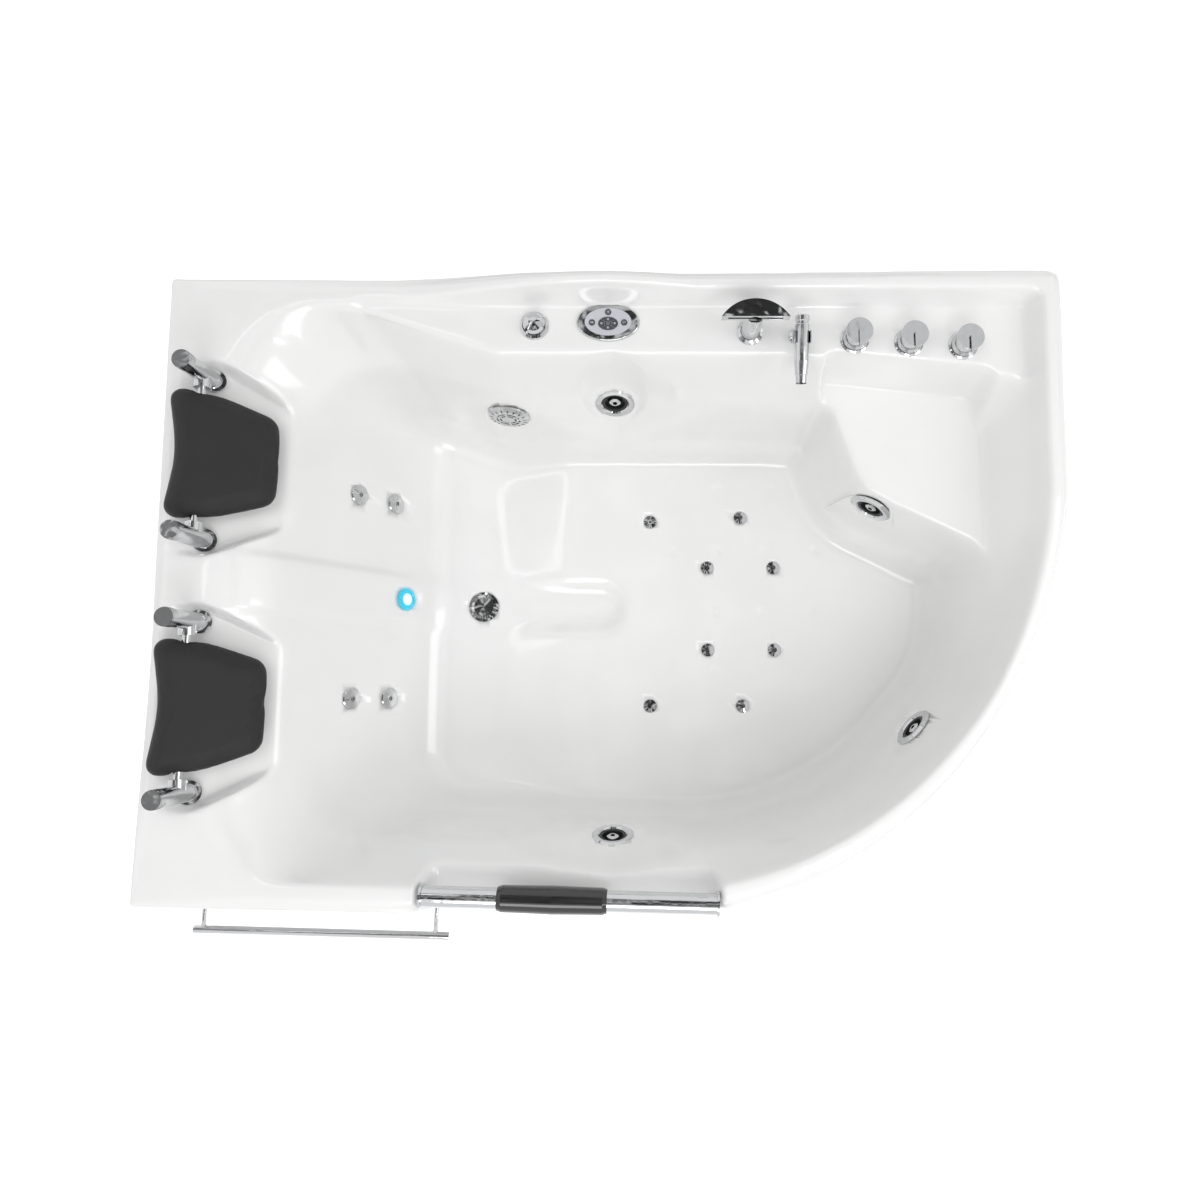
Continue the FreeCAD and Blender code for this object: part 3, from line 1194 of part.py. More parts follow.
# ---------------------------------------------------------------- apron, frame and feet
def front_apron():
    """The skirt panel under the rim, along the front, round the arc and up the right side."""
    outer = grow_corners(outline(), -APRON_IN)
    inner = grow_corners(outline(), -APRON_IN - APRON_T)
    lip = grow_corners(outline(), -APRON_IN - 22.0)
    sheet = prism(outer, APRON_BOTTOM, APRON_TOP).cut(prism(inner, APRON_BOTTOM - 1, APRON_TOP + 1))
    flange = prism(outer, APRON_TOP - APRON_T, APRON_TOP).cut(prism(lip, APRON_BOTTOM, APRON_TOP + 1))
    back = box(-HALF_L, HALF_L, -APRON_IN - 30.0, 0, 0, RIM_Z)
    left = box(-HALF_L, -HALF_L + APRON_IN + APRON_T + 20.0, -LEFT_DEPTH - 20, 0, 0, RIM_Z)
    panel = sheet.fuse(flange).cut([back, left])
    holes = [Part.makeCylinder(3.2, 30, at - way * 15, way) for at, way in screw_places()]
    return panel.cut(holes)


def screw_places():
    """Where the apron is screwed to the frame: on the front and on the right side."""
    z = FRAME_BOTTOM + TUBE / 2
    front = [(V(x, front_y(x) + APRON_IN, z), V(-FRONT_SLOPE, -1, 0).normalize()) for x in CROSS_XS[:2]]
    return front + [(V(HALF_L - APRON_IN, RAIL_YS[0], z), X_AXIS)]


def apron_screws():
    screws = []
    for at, way in screw_places():
        head = Part.makeCylinder(6.0, 3.0, at + way * GAP, way)
        screws.append(head.fuse(Part.makeCylinder(3.0, 16.0, at - way * 14.0, way)))
    return group(screws)


def square_tube(a, b):
    """A hollow square tube along x or y between two points, open at its ends."""
    half = TUBE / 2
    lo = V(min(a.x, b.x), min(a.y, b.y), a.z - half)
    hi = V(max(a.x, b.x), max(a.y, b.y), a.z + half)
    if abs(a.x - b.x) > abs(a.y - b.y):
        outer = box(lo.x, hi.x, a.y - half, a.y + half, lo.z, hi.z)
        inner = box(lo.x - 1, hi.x + 1, a.y - half + 2, a.y + half - 2, lo.z + 2, hi.z - 2)
    else:
        outer = box(a.x - half, a.x + half, lo.y, hi.y, lo.z, hi.z)
        inner = box(a.x - half + 2, a.x + half - 2, lo.y - 1, hi.y + 1, lo.z + 2, hi.z - 2)
    return outer, inner


def support_frame():
    """The welded frame: two rails, cross members, four uprights under the rim and two trays."""
    z = FRAME_BOTTOM + TUBE / 2
    right = HALF_L - APRON_IN - APRON_T - GAP
    past_arc = RIGHT_DEPTH - FRONT_ARC_R + RAIL_YS[1]
    arc_x = HALF_L - FRONT_ARC_R + math.sqrt(FRONT_ARC_R ** 2 - past_arc ** 2) - FRAME_IN
    back_y = -14.0
    runs = [(V(-HALF_L + 14, RAIL_YS[0], z), V(right, RAIL_YS[0], z)),
            (V(-HALF_L + 14, RAIL_YS[1], z), V(arc_x, RAIL_YS[1], z))]
    for i, x in enumerate(CROSS_XS):
        front = front_y(x) + APRON_IN + APRON_T + GAP + TUBE * FRONT_SLOPE
        runs.append((V(x, back_y, z), V(x, front if i < 2 else RAIL_YS[1], z)))
    outers = []
    inners = []
    for a, b in runs:
        outer, inner = square_tube(a, b)
        outers.append(outer)
        inners.append(inner)
    half = TUBE / 2
    trays = [box(CROSS_XS[2], right - 80, RAIL_YS[0], back_y - 50, TRAY_TOP - TRAY_T, TRAY_TOP),
             box(-HALF_L + 14, CROSS_XS[0], RAIL_YS[1], back_y - 100, TRAY_TOP - TRAY_T, TRAY_TOP)]
    uprights = []
    for x, y in ((-HALF_L + 14 + half, RAIL_YS[0]), (-HALF_L + 14 + half, RAIL_YS[1]),
                 (CROSS_XS[1], back_y - half), (CROSS_XS[2], back_y - half)):
        uprights.append(box(x - half, x + half, y - half, y + half, FRAME_TOP - 1, DECK_Z - WALL - GAP))
    uprights.append(box(SEAT_POST_X - half, SEAT_POST_X + half, RAIL_YS[0] - half, RAIL_YS[0] + half,
                        FRAME_TOP - 1, SEAT_Z - WALL - GAP))
    frame = outers[0].fuse(outers[1:] + uprights + trays)
    return frame.cut(inners).cut([Part.makeCylinder(STUD_R + GAP, 3 * TUBE, V(x, y, FRAME_BOTTOM - TUBE))
                                  for x, y in foot_places()])


def foot_places():
    xs = (CROSS_XS[0] + 60.0, CROSS_XS[1] + 60.0, CROSS_XS[2] - 60.0)
    return [(x, y) for y in RAIL_YS for x in xs]


def levelling_feet():
    foot = revolve([(0, 0), (FOOT_R, 0), (FOOT_R, 5.0), (FOOT_R - 8, FOOT_H), (STUD_R, FOOT_H),
                    (STUD_R, FRAME_BOTTOM + 20.0), (0, FRAME_BOTTOM + 20.0)])
    return group([stand(foot, (x, y, 0)) for x, y in foot_places()])


def foot_nuts():
    nut = Part.makeCylinder(NUT_R, NUT_H).cut(Part.makeCylinder(STUD_R + RUN, NUT_H))
    return group([stand(nut, (x, y, FRAME_BOTTOM - NUT_H - GAP)) for x, y in foot_places()])


# ---------------------------------------------------------------- pump, blower and pipes
def pump_axis_z():
    return TRAY_TOP + PUMP_AXIS_UP


def pump_place(x):
    return V(x, PUMP_Y, pump_axis_z())


def pump():
    """The pump's wet end: a round volute with its suction stub and its outlet stub on top."""
    volute = rod(pump_place(PUMP_X), pump_place(PUMP_X + PUMP_W), PUMP_R)
    inlet = rod(pump_place(PUMP_X - 18), pump_place(PUMP_X), PIPE_R + 4)
    top = pump_place(PUMP_X + PUMP_W / 2)
    outlet = Part.makeCylinder(PIPE_R, PUMP_R + 26, top)
    foot = box(PUMP_X + 6, PUMP_X + PUMP_W - 6, PUMP_Y - 50, PUMP_Y + 50, TRAY_TOP + GAP, TRAY_TOP + 14)
    return volute.fuse([inlet, outlet, foot])


def motor():
    """The motor behind it, with cooling ribs and its terminal box."""
    x0 = PUMP_X + PUMP_W + GAP
    body = rod(pump_place(x0), pump_place(x0 + MOTOR_L), MOTOR_R)
    ribs = [rod(pump_place(x0 + 20 + 16 * i), pump_place(x0 + 26 + 16 * i), MOTOR_R + 5) for i in range(8)]
    z = pump_axis_z()
    terminal = box(x0 + 30, x0 + 120, PUMP_Y - 32, PUMP_Y + 32, z + MOTOR_R - 8, z + MOTOR_R + 28)
    foot = box(x0 + 30, x0 + 130, PUMP_Y - 55, PUMP_Y + 55, TRAY_TOP + GAP, TRAY_TOP + PUMP_AXIS_UP - 40)
    return body.fuse(ribs + [terminal, foot])


def blower():
    """The air blower: a drum with a stepped lid and an outlet."""
    drum = revolve([(0, 0), (BLOWER_R - 4, 0), (BLOWER_R, 6), (BLOWER_R, BLOWER_H * 0.6),
                    (BLOWER_R - 12, BLOWER_H * 0.66), (BLOWER_R - 12, BLOWER_H), (0, BLOWER_H)])
    outlet = Part.makeCylinder(16.0, BLOWER_R + 26, V(0, 0, 30), V(0, 1, 0))
    return stand(drum.fuse(outlet), BLOWER_AT + (TRAY_TOP + GAP,))


def control_box():
    w, d, h = BOX_SIZE
    body = Part.makeBox(w, d, h, V(BOX_AT[0] - w / 2, BOX_AT[1] - d / 2, TRAY_TOP + GAP))
    upright = [e for e in body.Edges if e.BoundBox.ZLength > h - 1]
    return body.makeFillet(8.0, upright)


def suction_pipe():
    """The pipe from the suction fitting down the back of the basin to the pump."""
    at, way = suction_place()
    start = at - way * (SUCTION_LENGTH + GAP)
    z = pump_axis_z()
    elbow = start - way * 46.0
    points = [start, elbow, V(elbow.x, elbow.y, z), V(PUMP_X - 62, elbow.y, z),
              V(PUMP_X - 62, PUMP_Y, z), V(PUMP_X - 18 - GAP, PUMP_Y, z)]
    return tube_run(points, PIPE_R, PIPE_BEND)


PIECES = {
    "tub_shell": tub_shell,
    "pillow_back": lambda: pillow(LANES[0]),
    "pillow_front": lambda: pillow(LANES[1]),
    "pillow_posts": pillow_posts,
    "jet_rings": jet_rings,
    "jet_bodies": jet_bodies,
    "backrest_jet_faces": lambda: small_jets()[0],
    "backrest_jet_bodies": lambda: small_jets()[1],
    "air_jet_faces": lambda: air_jets()[0],
    "air_jet_bodies": lambda: air_jets()[1],
    "light_bezel": light_bezel,
    "light_lens": light_lens,
    "light_housing": light_housing,
    "suction_cover": suction_cover,
    "suction_body": suction_body,
    "drain_flange": drain_flange,
    "drain_plug": drain_plug,
    "drain_body": drain_body,
    "panel_bezel": panel_bezel,
    "panel_face": panel_face,
    "panel_housing": panel_housing,
    "air_knob_base": air_knob_base,
    "air_knob": air_knob,
    "waterfall_spout": waterfall_spout,
    "spout_flange": spout_flange,
    "valve_escutcheons": valve_escutcheons,
    "valve_bodies": valve_bodies,
    "handset_holder": handset_holder,
    "handset": handset,
    "rail_tube": rail_tube,
    "rail_grip": rail_grip,
    "rail_flanges": rail_flanges,
    "towel_bar": towel_bar,
    "towel_posts": towel_posts,
    "front_apron": front_apron,
    "apron_screws": apron_screws,
    "support_frame": support_frame,
    "levelling_feet": levelling_feet,
    "foot_lock_nuts": foot_nuts,
    "pump": pump,
    "motor": motor,
    "blower": blower,
    "control_box": control_box,
    "suction_pipe": suction_pipe,
}


def all_pieces():
    shapes = {name: make() for name, make in PIECES.items()}
    for name in jets():
        shapes["jet_nozzle_" + name] = jet_nozzle(name)
    for i, name in enumerate(VALVE_NAMES):
        shapes["valve_knob_" + name] = valve_knob(i)
    shapes.update(panel_keys())
    return shapes


def main():
    os.makedirs("parts", exist_ok=True)
    for name, shape in all_pieces().items():
        shape.translate(EXPORT_SHIFT)
        shape.exportStep("parts/" + name + ".step")
        print(name, len(shape.Solids), shape.isValid(), round(shape.Volume / 1000))


main()
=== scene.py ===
import json
import math

import bmesh
import bpy
import numpy as np
from mathutils import Matrix, Vector
from mathutils.geometry import delaunay_2d_cdt


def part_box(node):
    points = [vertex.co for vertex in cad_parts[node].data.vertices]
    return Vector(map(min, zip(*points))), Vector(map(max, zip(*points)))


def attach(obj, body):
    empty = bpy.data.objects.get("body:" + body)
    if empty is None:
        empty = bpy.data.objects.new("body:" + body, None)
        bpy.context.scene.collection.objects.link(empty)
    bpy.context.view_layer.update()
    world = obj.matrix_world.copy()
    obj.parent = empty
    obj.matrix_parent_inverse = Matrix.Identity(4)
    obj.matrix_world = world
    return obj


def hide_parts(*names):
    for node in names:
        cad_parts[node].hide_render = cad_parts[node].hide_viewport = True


# The looks of a jetted corner bathtub. Metres; +x is right, +y the back wall, z = 0 the floor.

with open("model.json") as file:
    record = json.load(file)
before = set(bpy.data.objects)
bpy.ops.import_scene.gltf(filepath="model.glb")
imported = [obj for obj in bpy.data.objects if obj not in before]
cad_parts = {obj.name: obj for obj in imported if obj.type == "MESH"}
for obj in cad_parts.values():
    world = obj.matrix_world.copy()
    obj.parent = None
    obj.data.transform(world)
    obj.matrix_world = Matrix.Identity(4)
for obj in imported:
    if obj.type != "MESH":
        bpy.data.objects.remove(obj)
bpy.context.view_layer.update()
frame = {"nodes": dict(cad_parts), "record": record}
nodes = frame["nodes"]

# ---------------------------------------------------------------- the moulded shell
GRID = 0.0015      # spacing of the shell's height map
GRID_MARGIN = 0.030
SHELL_T = 0.005
EDGE_R = 0.008             # rounding of the rim's outer edge
EDGE_ROWS = 6
SKIRT_Z = 0.520            # lower end of the lip turned down round the outside
SKIRT_CUT_Z = 0.527        # where the outline is taken, under the notch in the front rim
SKIRT_R = 0.002
OUTLINE_STEPS = 4000
CELLS = (16, 8, 4, 2, 1)   # the shell's mesh cells, in grid steps
TOP_POINTS = 66000
UNDER_POINTS = 24000
UNDER_SPARE = 0.0015       # the underside keeps this much more below the top
NO_HEIGHT = -1.0
RIM_BLEND = 0.0056         # how softly creases run out: on the rim and the walls
SOFT_BLEND = 0.0125        # and in the floor's coves
SOFT_BELOW = (0.300, 0.225)
PAD_FROM = 1.04            # the seat's height is taken between here and the next, in radii
PAD_FLAT = 1.10            # a flat seat under each large jet, in radii of its ring
PAD_END = 1.65             # where the seat has run out into the wall
HOLE_SHARE = 0.95          # a fitting's hole, as a share of its flange

DIMPLE_R = 0.0100
DIMPLE_DEPTH = 0.0022
BACK_EDGE_Y = max(corner[1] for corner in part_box("tub_shell"))
# millimetres from the middle and from the back edge
DIMPLES = ((126, -311), (233, -311), (360, -311), (126, -463), (234, -463), (345, -463),
           (463, -463), (226, -608), (336, -608), (453, -608), (120, -737), (225, -743))
MILLIMETRE = 0.001
MERGE_REACH = 1e-6
HOLE_SIDES = 48
HOLE_DEPTH = 0.060
EDGE_GRACE = 0.01              # how far a grid point may lie outside a triangle, as a share of it
FIRST_TURN = 0.12              # the largest tilt across a mesh cell, raised until the budget holds
TURN_STEP = 1.12
FILL_REACH = 48.0              # in grid steps, where the height map is closed
FILL_STEP = 0.7


def new_object(name, data):
    obj = bpy.data.objects.new(name, data)
    bpy.context.scene.collection.objects.link(obj)
    return obj


def merged(mesh):
    """An editable copy of a CAD mesh with its loose triangles joined."""
    work = bmesh.new()
    work.from_mesh(mesh)
    bmesh.ops.remove_doubles(work, verts=work.verts, dist=MERGE_REACH)
    return work


def written(work, mesh):
    """Puts an editable mesh into a plain one."""
    work.to_mesh(mesh)
    work.free()
    return mesh


def turned_to(axis):
    """The turn that takes z to an axis."""
    return Vector((0, 0, 1)).rotation_difference(Vector(axis)).to_matrix().to_4x4()


def middle_of(points):
    return (points.min(0) + points.max(0)) / 2


def corners_of(obj):
    """The triangles of a mesh, as an array of (triangle, corner, x y z)."""
    mesh = obj.data
    mesh.calc_loop_triangles()
    places = np.empty(len(mesh.vertices) * 3)
    mesh.vertices.foreach_get("co", places)
    index = np.empty(len(mesh.loop_triangles) * 3, int)
    mesh.loop_triangles.foreach_get("vertices", index)
    return places.reshape(-1, 3)[index.reshape(-1, 3)]


def islands(obj):
    """The separate solids of a CAD node, each as an array of its points."""
    work = merged(obj.data)
    left = set(work.verts)
    found = []
    while left:
        reach = [left.pop()]
        points = []
        while reach:
            vert = reach.pop()
            points.append(tuple(vert.co))
            for edge in vert.link_edges:
                other = edge.other_vert(vert)
                if other in left:
                    left.remove(other)
                    reach.append(other)
        found.append(np.array(points))
    work.free()
    return sorted(found, key=lambda p: tuple(p.mean(0).round(4)))


def flange_axis(points):
    """Centre, axis and radius of a flat round flange."""
    centre = middle_of(points)
    spread = points - points.mean(0)
    axis = np.linalg.eigh(spread.T @ spread)[1][:, 0]
    off = points - centre
    off = off - np.outer(off @ axis, axis)
    return centre, axis, np.linalg.norm(off, axis=1).max()


def height_map(triangles, xs, ys):
    """The highest upward surface over each grid point."""
    top = np.full((len(ys), len(xs)), NO_HEIGHT)
    step = xs[1] - xs[0]
    for a, b, c in triangles:
        turn = (b[0] - a[0]) * (c[1] - a[1]) - (c[0] - a[0]) * (b[1] - a[1])
        if turn < 1e-13:
            continue
        low = np.minimum(np.minimum(a, b), c)
        high = np.maximum(np.maximum(a, b), c)
        i0, j0 = (max(math.ceil((low[k] - s[0]) / step - EDGE_GRACE), 0)
                  for k, s in ((0, xs), (1, ys)))
        i1, j1 = (math.floor((high[k] - s[0]) / step + EDGE_GRACE) + 1
                  for k, s in ((0, xs), (1, ys)))
        if i0 >= i1 or j0 >= j1:
            continue
        x = xs[None, i0:i1] - a[0]
        y = ys[j0:j1, None] - a[1]
        u = (x * (c[1] - a[1]) - (c[0] - a[0]) * y) / turn
        v = ((b[0] - a[0]) * y - x * (b[1] - a[1])) / turn
        inside = (u > -EDGE_GRACE) & (v > -EDGE_GRACE) & (u + v < 1 + EDGE_GRACE)
        z = a[2] + u * (b[2] - a[2]) + v * (c[2] - a[2])
        patch = top[j0:j1, i0:i1]
        np.maximum(patch, np.where(inside, z, NO_HEIGHT), out=patch)
    return top


def blurred(z, spread):
    """A height map with its creases rounded; spread is in grid steps."""
    fy = np.fft.fftfreq(z.shape[0])[:, None]
    fx = np.fft.rfftfreq(z.shape[1])[None]
    soft = np.exp(-2 * (math.pi * spread) ** 2 * (fx ** 2 + fy ** 2))
    return np.fft.irfft2(np.fft.rfft2(z) * soft, s=z.shape)


def filled(z, known):
    """A height map with its unknown places closed smoothly."""
    spread = FILL_REACH
    share = blurred(known.astype(float), spread)
    guess = blurred(np.where(known, z, 0), spread) / np.maximum(share, 1e-3)
    while spread > 1:
        guess = np.where(known, z, guess)
        guess = blurred(guess, spread)
        spread *= FILL_STEP
    return np.where(known, z, guess)


def smooth_step(value, start, end):
    share = np.clip((value - start) / (end - start), 0, 1)
    return share * share * (3 - 2 * share)


def outline_radius(triangles, height, angles):
    """How far the outermost wall is from the middle at a height, one radius for each angle."""
    radius = np.zeros(len(angles))
    ways = np.stack([np.cos(angles), np.sin(angles)], 1)
    heights = triangles[:, :, 2]
    for triangle in triangles[(heights.min(1) < height) & (heights.max(1) > height)]:
        ends = []
        for p, q in zip(triangle, np.roll(triangle, -1, 0)):
            if (p[2] - height) * (q[2] - height) < 0:
                ends.append(p[:2] + (q - p)[:2] * (height - p[2]) / (q[2] - p[2]))
        if len(ends) < 2:
            continue
        p, q = ends[:2]
        along = q - p
        cross = ways[:, 0] * along[1] - ways[:, 1] * along[0]
        cross = np.where(np.abs(cross) < 1e-12, 1e-12, cross)
        reach = (p[0] * along[1] - p[1] * along[0]) / cross
        share = (p[0] * ways[:, 1] - p[1] * ways[:, 0]) / cross
        hit = (reach > 0) & (share >= -1e-4) & (share <= 1 + 1e-4)
        radius = np.maximum(radius, np.where(hit, reach, 0))
    return radius


class Outline:
    """The shell's outer edge seen from above, with points set closer where it turns."""

    STRAIGHT = 0.012       # from one point to the next
    TURN = 0.16            # radians from one point to the next
    SIDE = 6               # neighbours on each side over which the turn is averaged
    SLANT = 1.3            # an inset's greatest length along a ray from the middle

    def __init__(self, triangles):
        self.angles = np.linspace(-math.pi, math.pi, OUTLINE_STEPS, endpoint=False)
        self.radii = outline_radius(triangles, SKIRT_CUT_Z, self.angles)
        dense = np.stack([np.cos(self.angles), np.sin(self.angles)], 1) * self.radii[:, None]
        ahead = np.roll(dense, -1, 0) - dense
        way = np.arctan2(ahead[:, 1], ahead[:, 0])
        turn = np.abs((np.roll(way, -1) - way + math.pi) % (2 * math.pi) - math.pi)
        window = 2 * self.SIDE + 1
        padded = np.concatenate([turn[-self.SIDE:], turn, turn[:self.SIDE]])
        wide = np.convolve(padded, np.ones(window) / window, "valid")
        weight = np.linalg.norm(ahead, axis=1) / self.STRAIGHT + wide / self.TURN
        along = np.concatenate([[0], np.cumsum(weight)])
        count = int(along[-1]) + 1
        spots = np.arange(count) * along[-1] / count
        closed = np.vstack([dense, dense[:1]])
        self.points = np.stack([np.interp(spots, along, closed[:, k]) for k in (0, 1)], 1)
        chord = np.roll(self.points, -1, 0) - np.roll(self.points, 1, 0)
        out = np.stack([chord[:, 1], -chord[:, 0]], 1)
        self.outward = out / np.linalg.norm(out, axis=1)[:, None]

    def loop(self, inset):
        return self.points - self.outward * inset

    def inside(self, x, y, inset):
        """Whether points are in the outline by more than inset."""
        angle = np.arctan2(y, x)
        edge = np.interp(angle, self.angles, self.radii, period=2 * math.pi)
        return np.hypot(x, y) < edge - inset * self.SLANT


def sampled(z, xs, ys, points):
    """Heights at any points, from a height map."""
    step = xs[1] - xs[0]
    u = np.clip((points[:, 0] - xs[0]) / step, 0, len(xs) - 1.001)
    v = np.clip((points[:, 1] - ys[0]) / step, 0, len(ys) - 1.001)
    i, j = u.astype(int), v.astype(int)
    u, v = u - i, v - j
    near = z[j, i] * (1 - u) + z[j, i + 1] * u
    far = z[j + 1, i] * (1 - u) + z[j + 1, i + 1] * u
    return near * (1 - v) + far * v


def turning(z, step):
    """How fast the surface's tilt changes, in radians a metre."""
    gy, gx = np.gradient(z, step)
    gyy, gyx = np.gradient(gy, step)
    gxy, gxx = np.gradient(gx, step)
    return np.sqrt((gxx ** 2 + gyy ** 2 + 2 * gxy ** 2) / (1 + gx ** 2 + gy ** 2))


def scattered(z, xs, ys, edge, inset, budget):
    """Grid points that lie closer where the surface turns faster, no more than the budget."""
    step = xs[1] - xs[0]
    need = turning(z, step)[:-1, :-1]
    rows, cols = need.shape
    most = [need.reshape(rows // size, size, cols // size, size).max((1, 3)) for size in CELLS]
    x, y = np.meshgrid(xs, ys)
    within = edge.inside(x, y, inset + step)
    turn = FIRST_TURN
    while True:
        picked = np.zeros(z.shape, bool)
        active = np.ones(most[0].shape, bool)
        for size, peak in zip(CELLS, most):
            split = active & (peak * size * step > turn) & (size > 1)
            for j, i in ((0, 0), (0, 1), (1, 0), (1, 1)):
                rows, cols = np.nonzero(active & ~split)
                picked[(rows + j) * size, (cols + i) * size] = True
            if size > 1:
                active = np.repeat(np.repeat(split, 2, 0), 2, 1)
        picked &= within
        if picked.sum() <= budget:
            return np.stack([x[picked], y[picked]], 1)
        turn *= TURN_STEP


def triangulated(loop, inner):
    """Triangles over a closed loop and the points in it. The loop's points come first."""
    points = [Vector(p) for p in np.vstack([loop, inner])]
    ring = [(i, (i + 1) % len(loop)) for i in range(len(loop))]
    made = delaunay_2d_cdt(points, ring, [], 1, 1e-6)
    where = {}
    for new, old in enumerate(made[3]):
        for o in old:
            where[o] = new
    back = {new: old for old, new in where.items()}
    return [[back[v] for v in face] for face in made[2]]


def underside(z, step):
    """The lower surface of a wall of even thickness under a height map."""
    reach = int(SHELL_T / step)
    under = z - SHELL_T - UNDER_SPARE
    for j in range(-reach, reach + 1):
        for i in range(-reach, reach + 1):
            off = (i * i + j * j) * step * step
            if off < SHELL_T ** 2:
                drop = math.sqrt(SHELL_T ** 2 - off) + UNDER_SPARE
                under = np.minimum(under, np.roll(z, (j, i), (0, 1)) - drop)
    return under


def mesh_object(name, vertices, faces):
    mesh = bpy.data.meshes.new(name)
    mesh.from_pydata([tuple(v) for v in vertices], [], [tuple(f) for f in faces])
    mesh.validate()
    mesh.shade_smooth()
    return new_object(name, mesh)


def with_seat(z, whole, x, y, centre, axis, radius):
    """A height map with a flat seat under a fitting, run out softly into the wall."""
    dx, dy = x - centre[0], y - centre[1]
    across = axis[0] * dx + axis[1] * dy
    seat = centre[2] - across / axis[2]
    dz = seat - centre[2]
    away = np.sqrt(dx ** 2 + dy ** 2 + dz ** 2 - (across + axis[2] * dz) ** 2)
    rim = (away > radius * PAD_FROM) & (away < radius * PAD_FLAT)
    seat = seat + np.median((whole - seat)[rim])
    return z + (seat - z) * smooth_step(away, radius * PAD_END, radius * PAD_FLAT)


def shell_heights(triangles, edge, xs, ys):
    """The basin as one smooth surface, over the solid's own heights."""
    step = xs[1] - xs[0]
    raw = height_map(triangles, xs, ys)
    x, y = np.meshgrid(xs, ys)
    known = (raw > NO_HEIGHT) & edge.inside(x, y, EDGE_R + 2 * step)
    whole = filled(raw, known)
    rim, soft = (blurred(whole, spread / step) for spread in (RIM_BLEND, SOFT_BLEND))
    z = rim + (soft - rim) * smooth_step(soft, *SOFT_BELOW)
    for points in islands(nodes["jet_rings"]):
        z = with_seat(z, whole, x, y, *flange_axis(points))
    for dx, dy in DIMPLES:
        away = np.hypot(x - dx * MILLIMETRE, y - BACK_EDGE_Y - dy * MILLIMETRE) / DIMPLE_R
        z -= DIMPLE_DEPTH * np.exp(-away ** 4)
    return z


def shell_body():
    """The moulded shell without holes: top, rounded rim, skirt and underside, closed."""
    triangles = corners_of(nodes["tub_shell"])
    edge = Outline(triangles)
    low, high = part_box("tub_shell")
    coarse = GRID * CELLS[0]
    spans = [math.ceil((high[k] - low[k] + 2 * GRID_MARGIN) / coarse) * CELLS[0] + 1
             for k in (0, 1)]
    xs, ys = (low[k] - GRID_MARGIN + GRID * np.arange(spans[k]) for k in (0, 1))
    z = shell_heights(triangles, edge, xs, ys)
    lower = underside(z, GRID)

    top_loop = edge.loop(EDGE_R)
    count = len(top_loop)
    top_inner = scattered(z, xs, ys, edge, EDGE_R, TOP_POINTS)
    top_faces = triangulated(top_loop, top_inner)
    under_loop = edge.loop(SHELL_T)
    under_inner = scattered(lower, xs, ys, edge, SHELL_T, UNDER_POINTS)
    under_faces = triangulated(under_loop, under_inner)

    rim = sampled(z, xs, ys, top_loop)
    rows = [(top_loop, rim)]
    for k in range(1, EDGE_ROWS + 1):
        turn = math.pi / 2 * k / EDGE_ROWS
        inset = EDGE_R * (1 - math.sin(turn))
        rows.append((edge.loop(inset), rim - EDGE_R * (1 - math.cos(turn))))
    level = np.ones(count)
    rows.append((edge.loop(0), SKIRT_Z + SKIRT_R * level))
    rows.append((edge.loop(SKIRT_R), SKIRT_Z * level))
    rows.append((edge.loop(SHELL_T - SKIRT_R / 2), SKIRT_Z * level))
    rows.append((edge.loop(SHELL_T), (SKIRT_Z + SKIRT_R) * level))
    rows.append((under_loop, sampled(lower, xs, ys, under_loop)))

    vertices = [np.column_stack([loop, height]) for loop, height in rows]
    faces = []
    for k in range(len(rows) - 1):
        for i in range(count):
            j = (i + 1) % count
            faces.append((k * count + i, (k + 1) * count + i,
                          (k + 1) * count + j, k * count + j))
    first_top = len(rows) * count
    vertices.append(np.column_stack([top_inner, sampled(z, xs, ys, top_inner)]))
    first_under = first_top + len(top_inner)
    vertices.append(np.column_stack([under_inner, sampled(lower, xs, ys, under_inner)]))
    last_row = (len(rows) - 1) * count
    faces += [[v if v < count else first_top + v - count for v in face] for face in top_faces]
    faces += [[last_row + v if v < count else first_under + v - count for v in face][::-1]
              for face in under_faces]
    shell = mesh_object("moulded_shell", np.vstack(vertices), faces)
    below = np.zeros(len(faces), int)
    below[-len(under_faces):] = 1
    below[(EDGE_ROWS + 4) * count:(EDGE_ROWS + 5) * count] = 1
    shell.data.polygons.foreach_set("material_index", below)
    return shell


def hole_cutter():
    """Round cutters on the axes of the fittings that sit in the shell."""
    work = bmesh.new()
    for name in ("jet_rings", "backrest_jet_faces", "air_jet_faces", "light_bezel",
                 "suction_cover", "drain_flange"):
        for points in islands(nodes[name]):
            centre, axis, radius = flange_axis(points)
            place = Matrix.Translation(Vector(centre)) @ turned_to(axis)
            hole = radius * HOLE_SHARE
            bmesh.ops.create_cone(work, cap_ends=True, segments=HOLE_SIDES, radius1=hole,
                                  radius2=hole, depth=HOLE_DEPTH, matrix=place)
    return new_object("cutters", written(work, bpy.data.meshes.new("cutters")))


def plain_mesh(obj):
    """Applies an object's modifiers."""
    bpy.context.view_layer.update()
    graph = bpy.context.evaluated_depsgraph_get()
    made = bpy.data.meshes.new_from_object(obj.evaluated_get(graph))
    old = obj.data
    obj.modifiers.clear()
    obj.data = made
    bpy.data.meshes.remove(old)


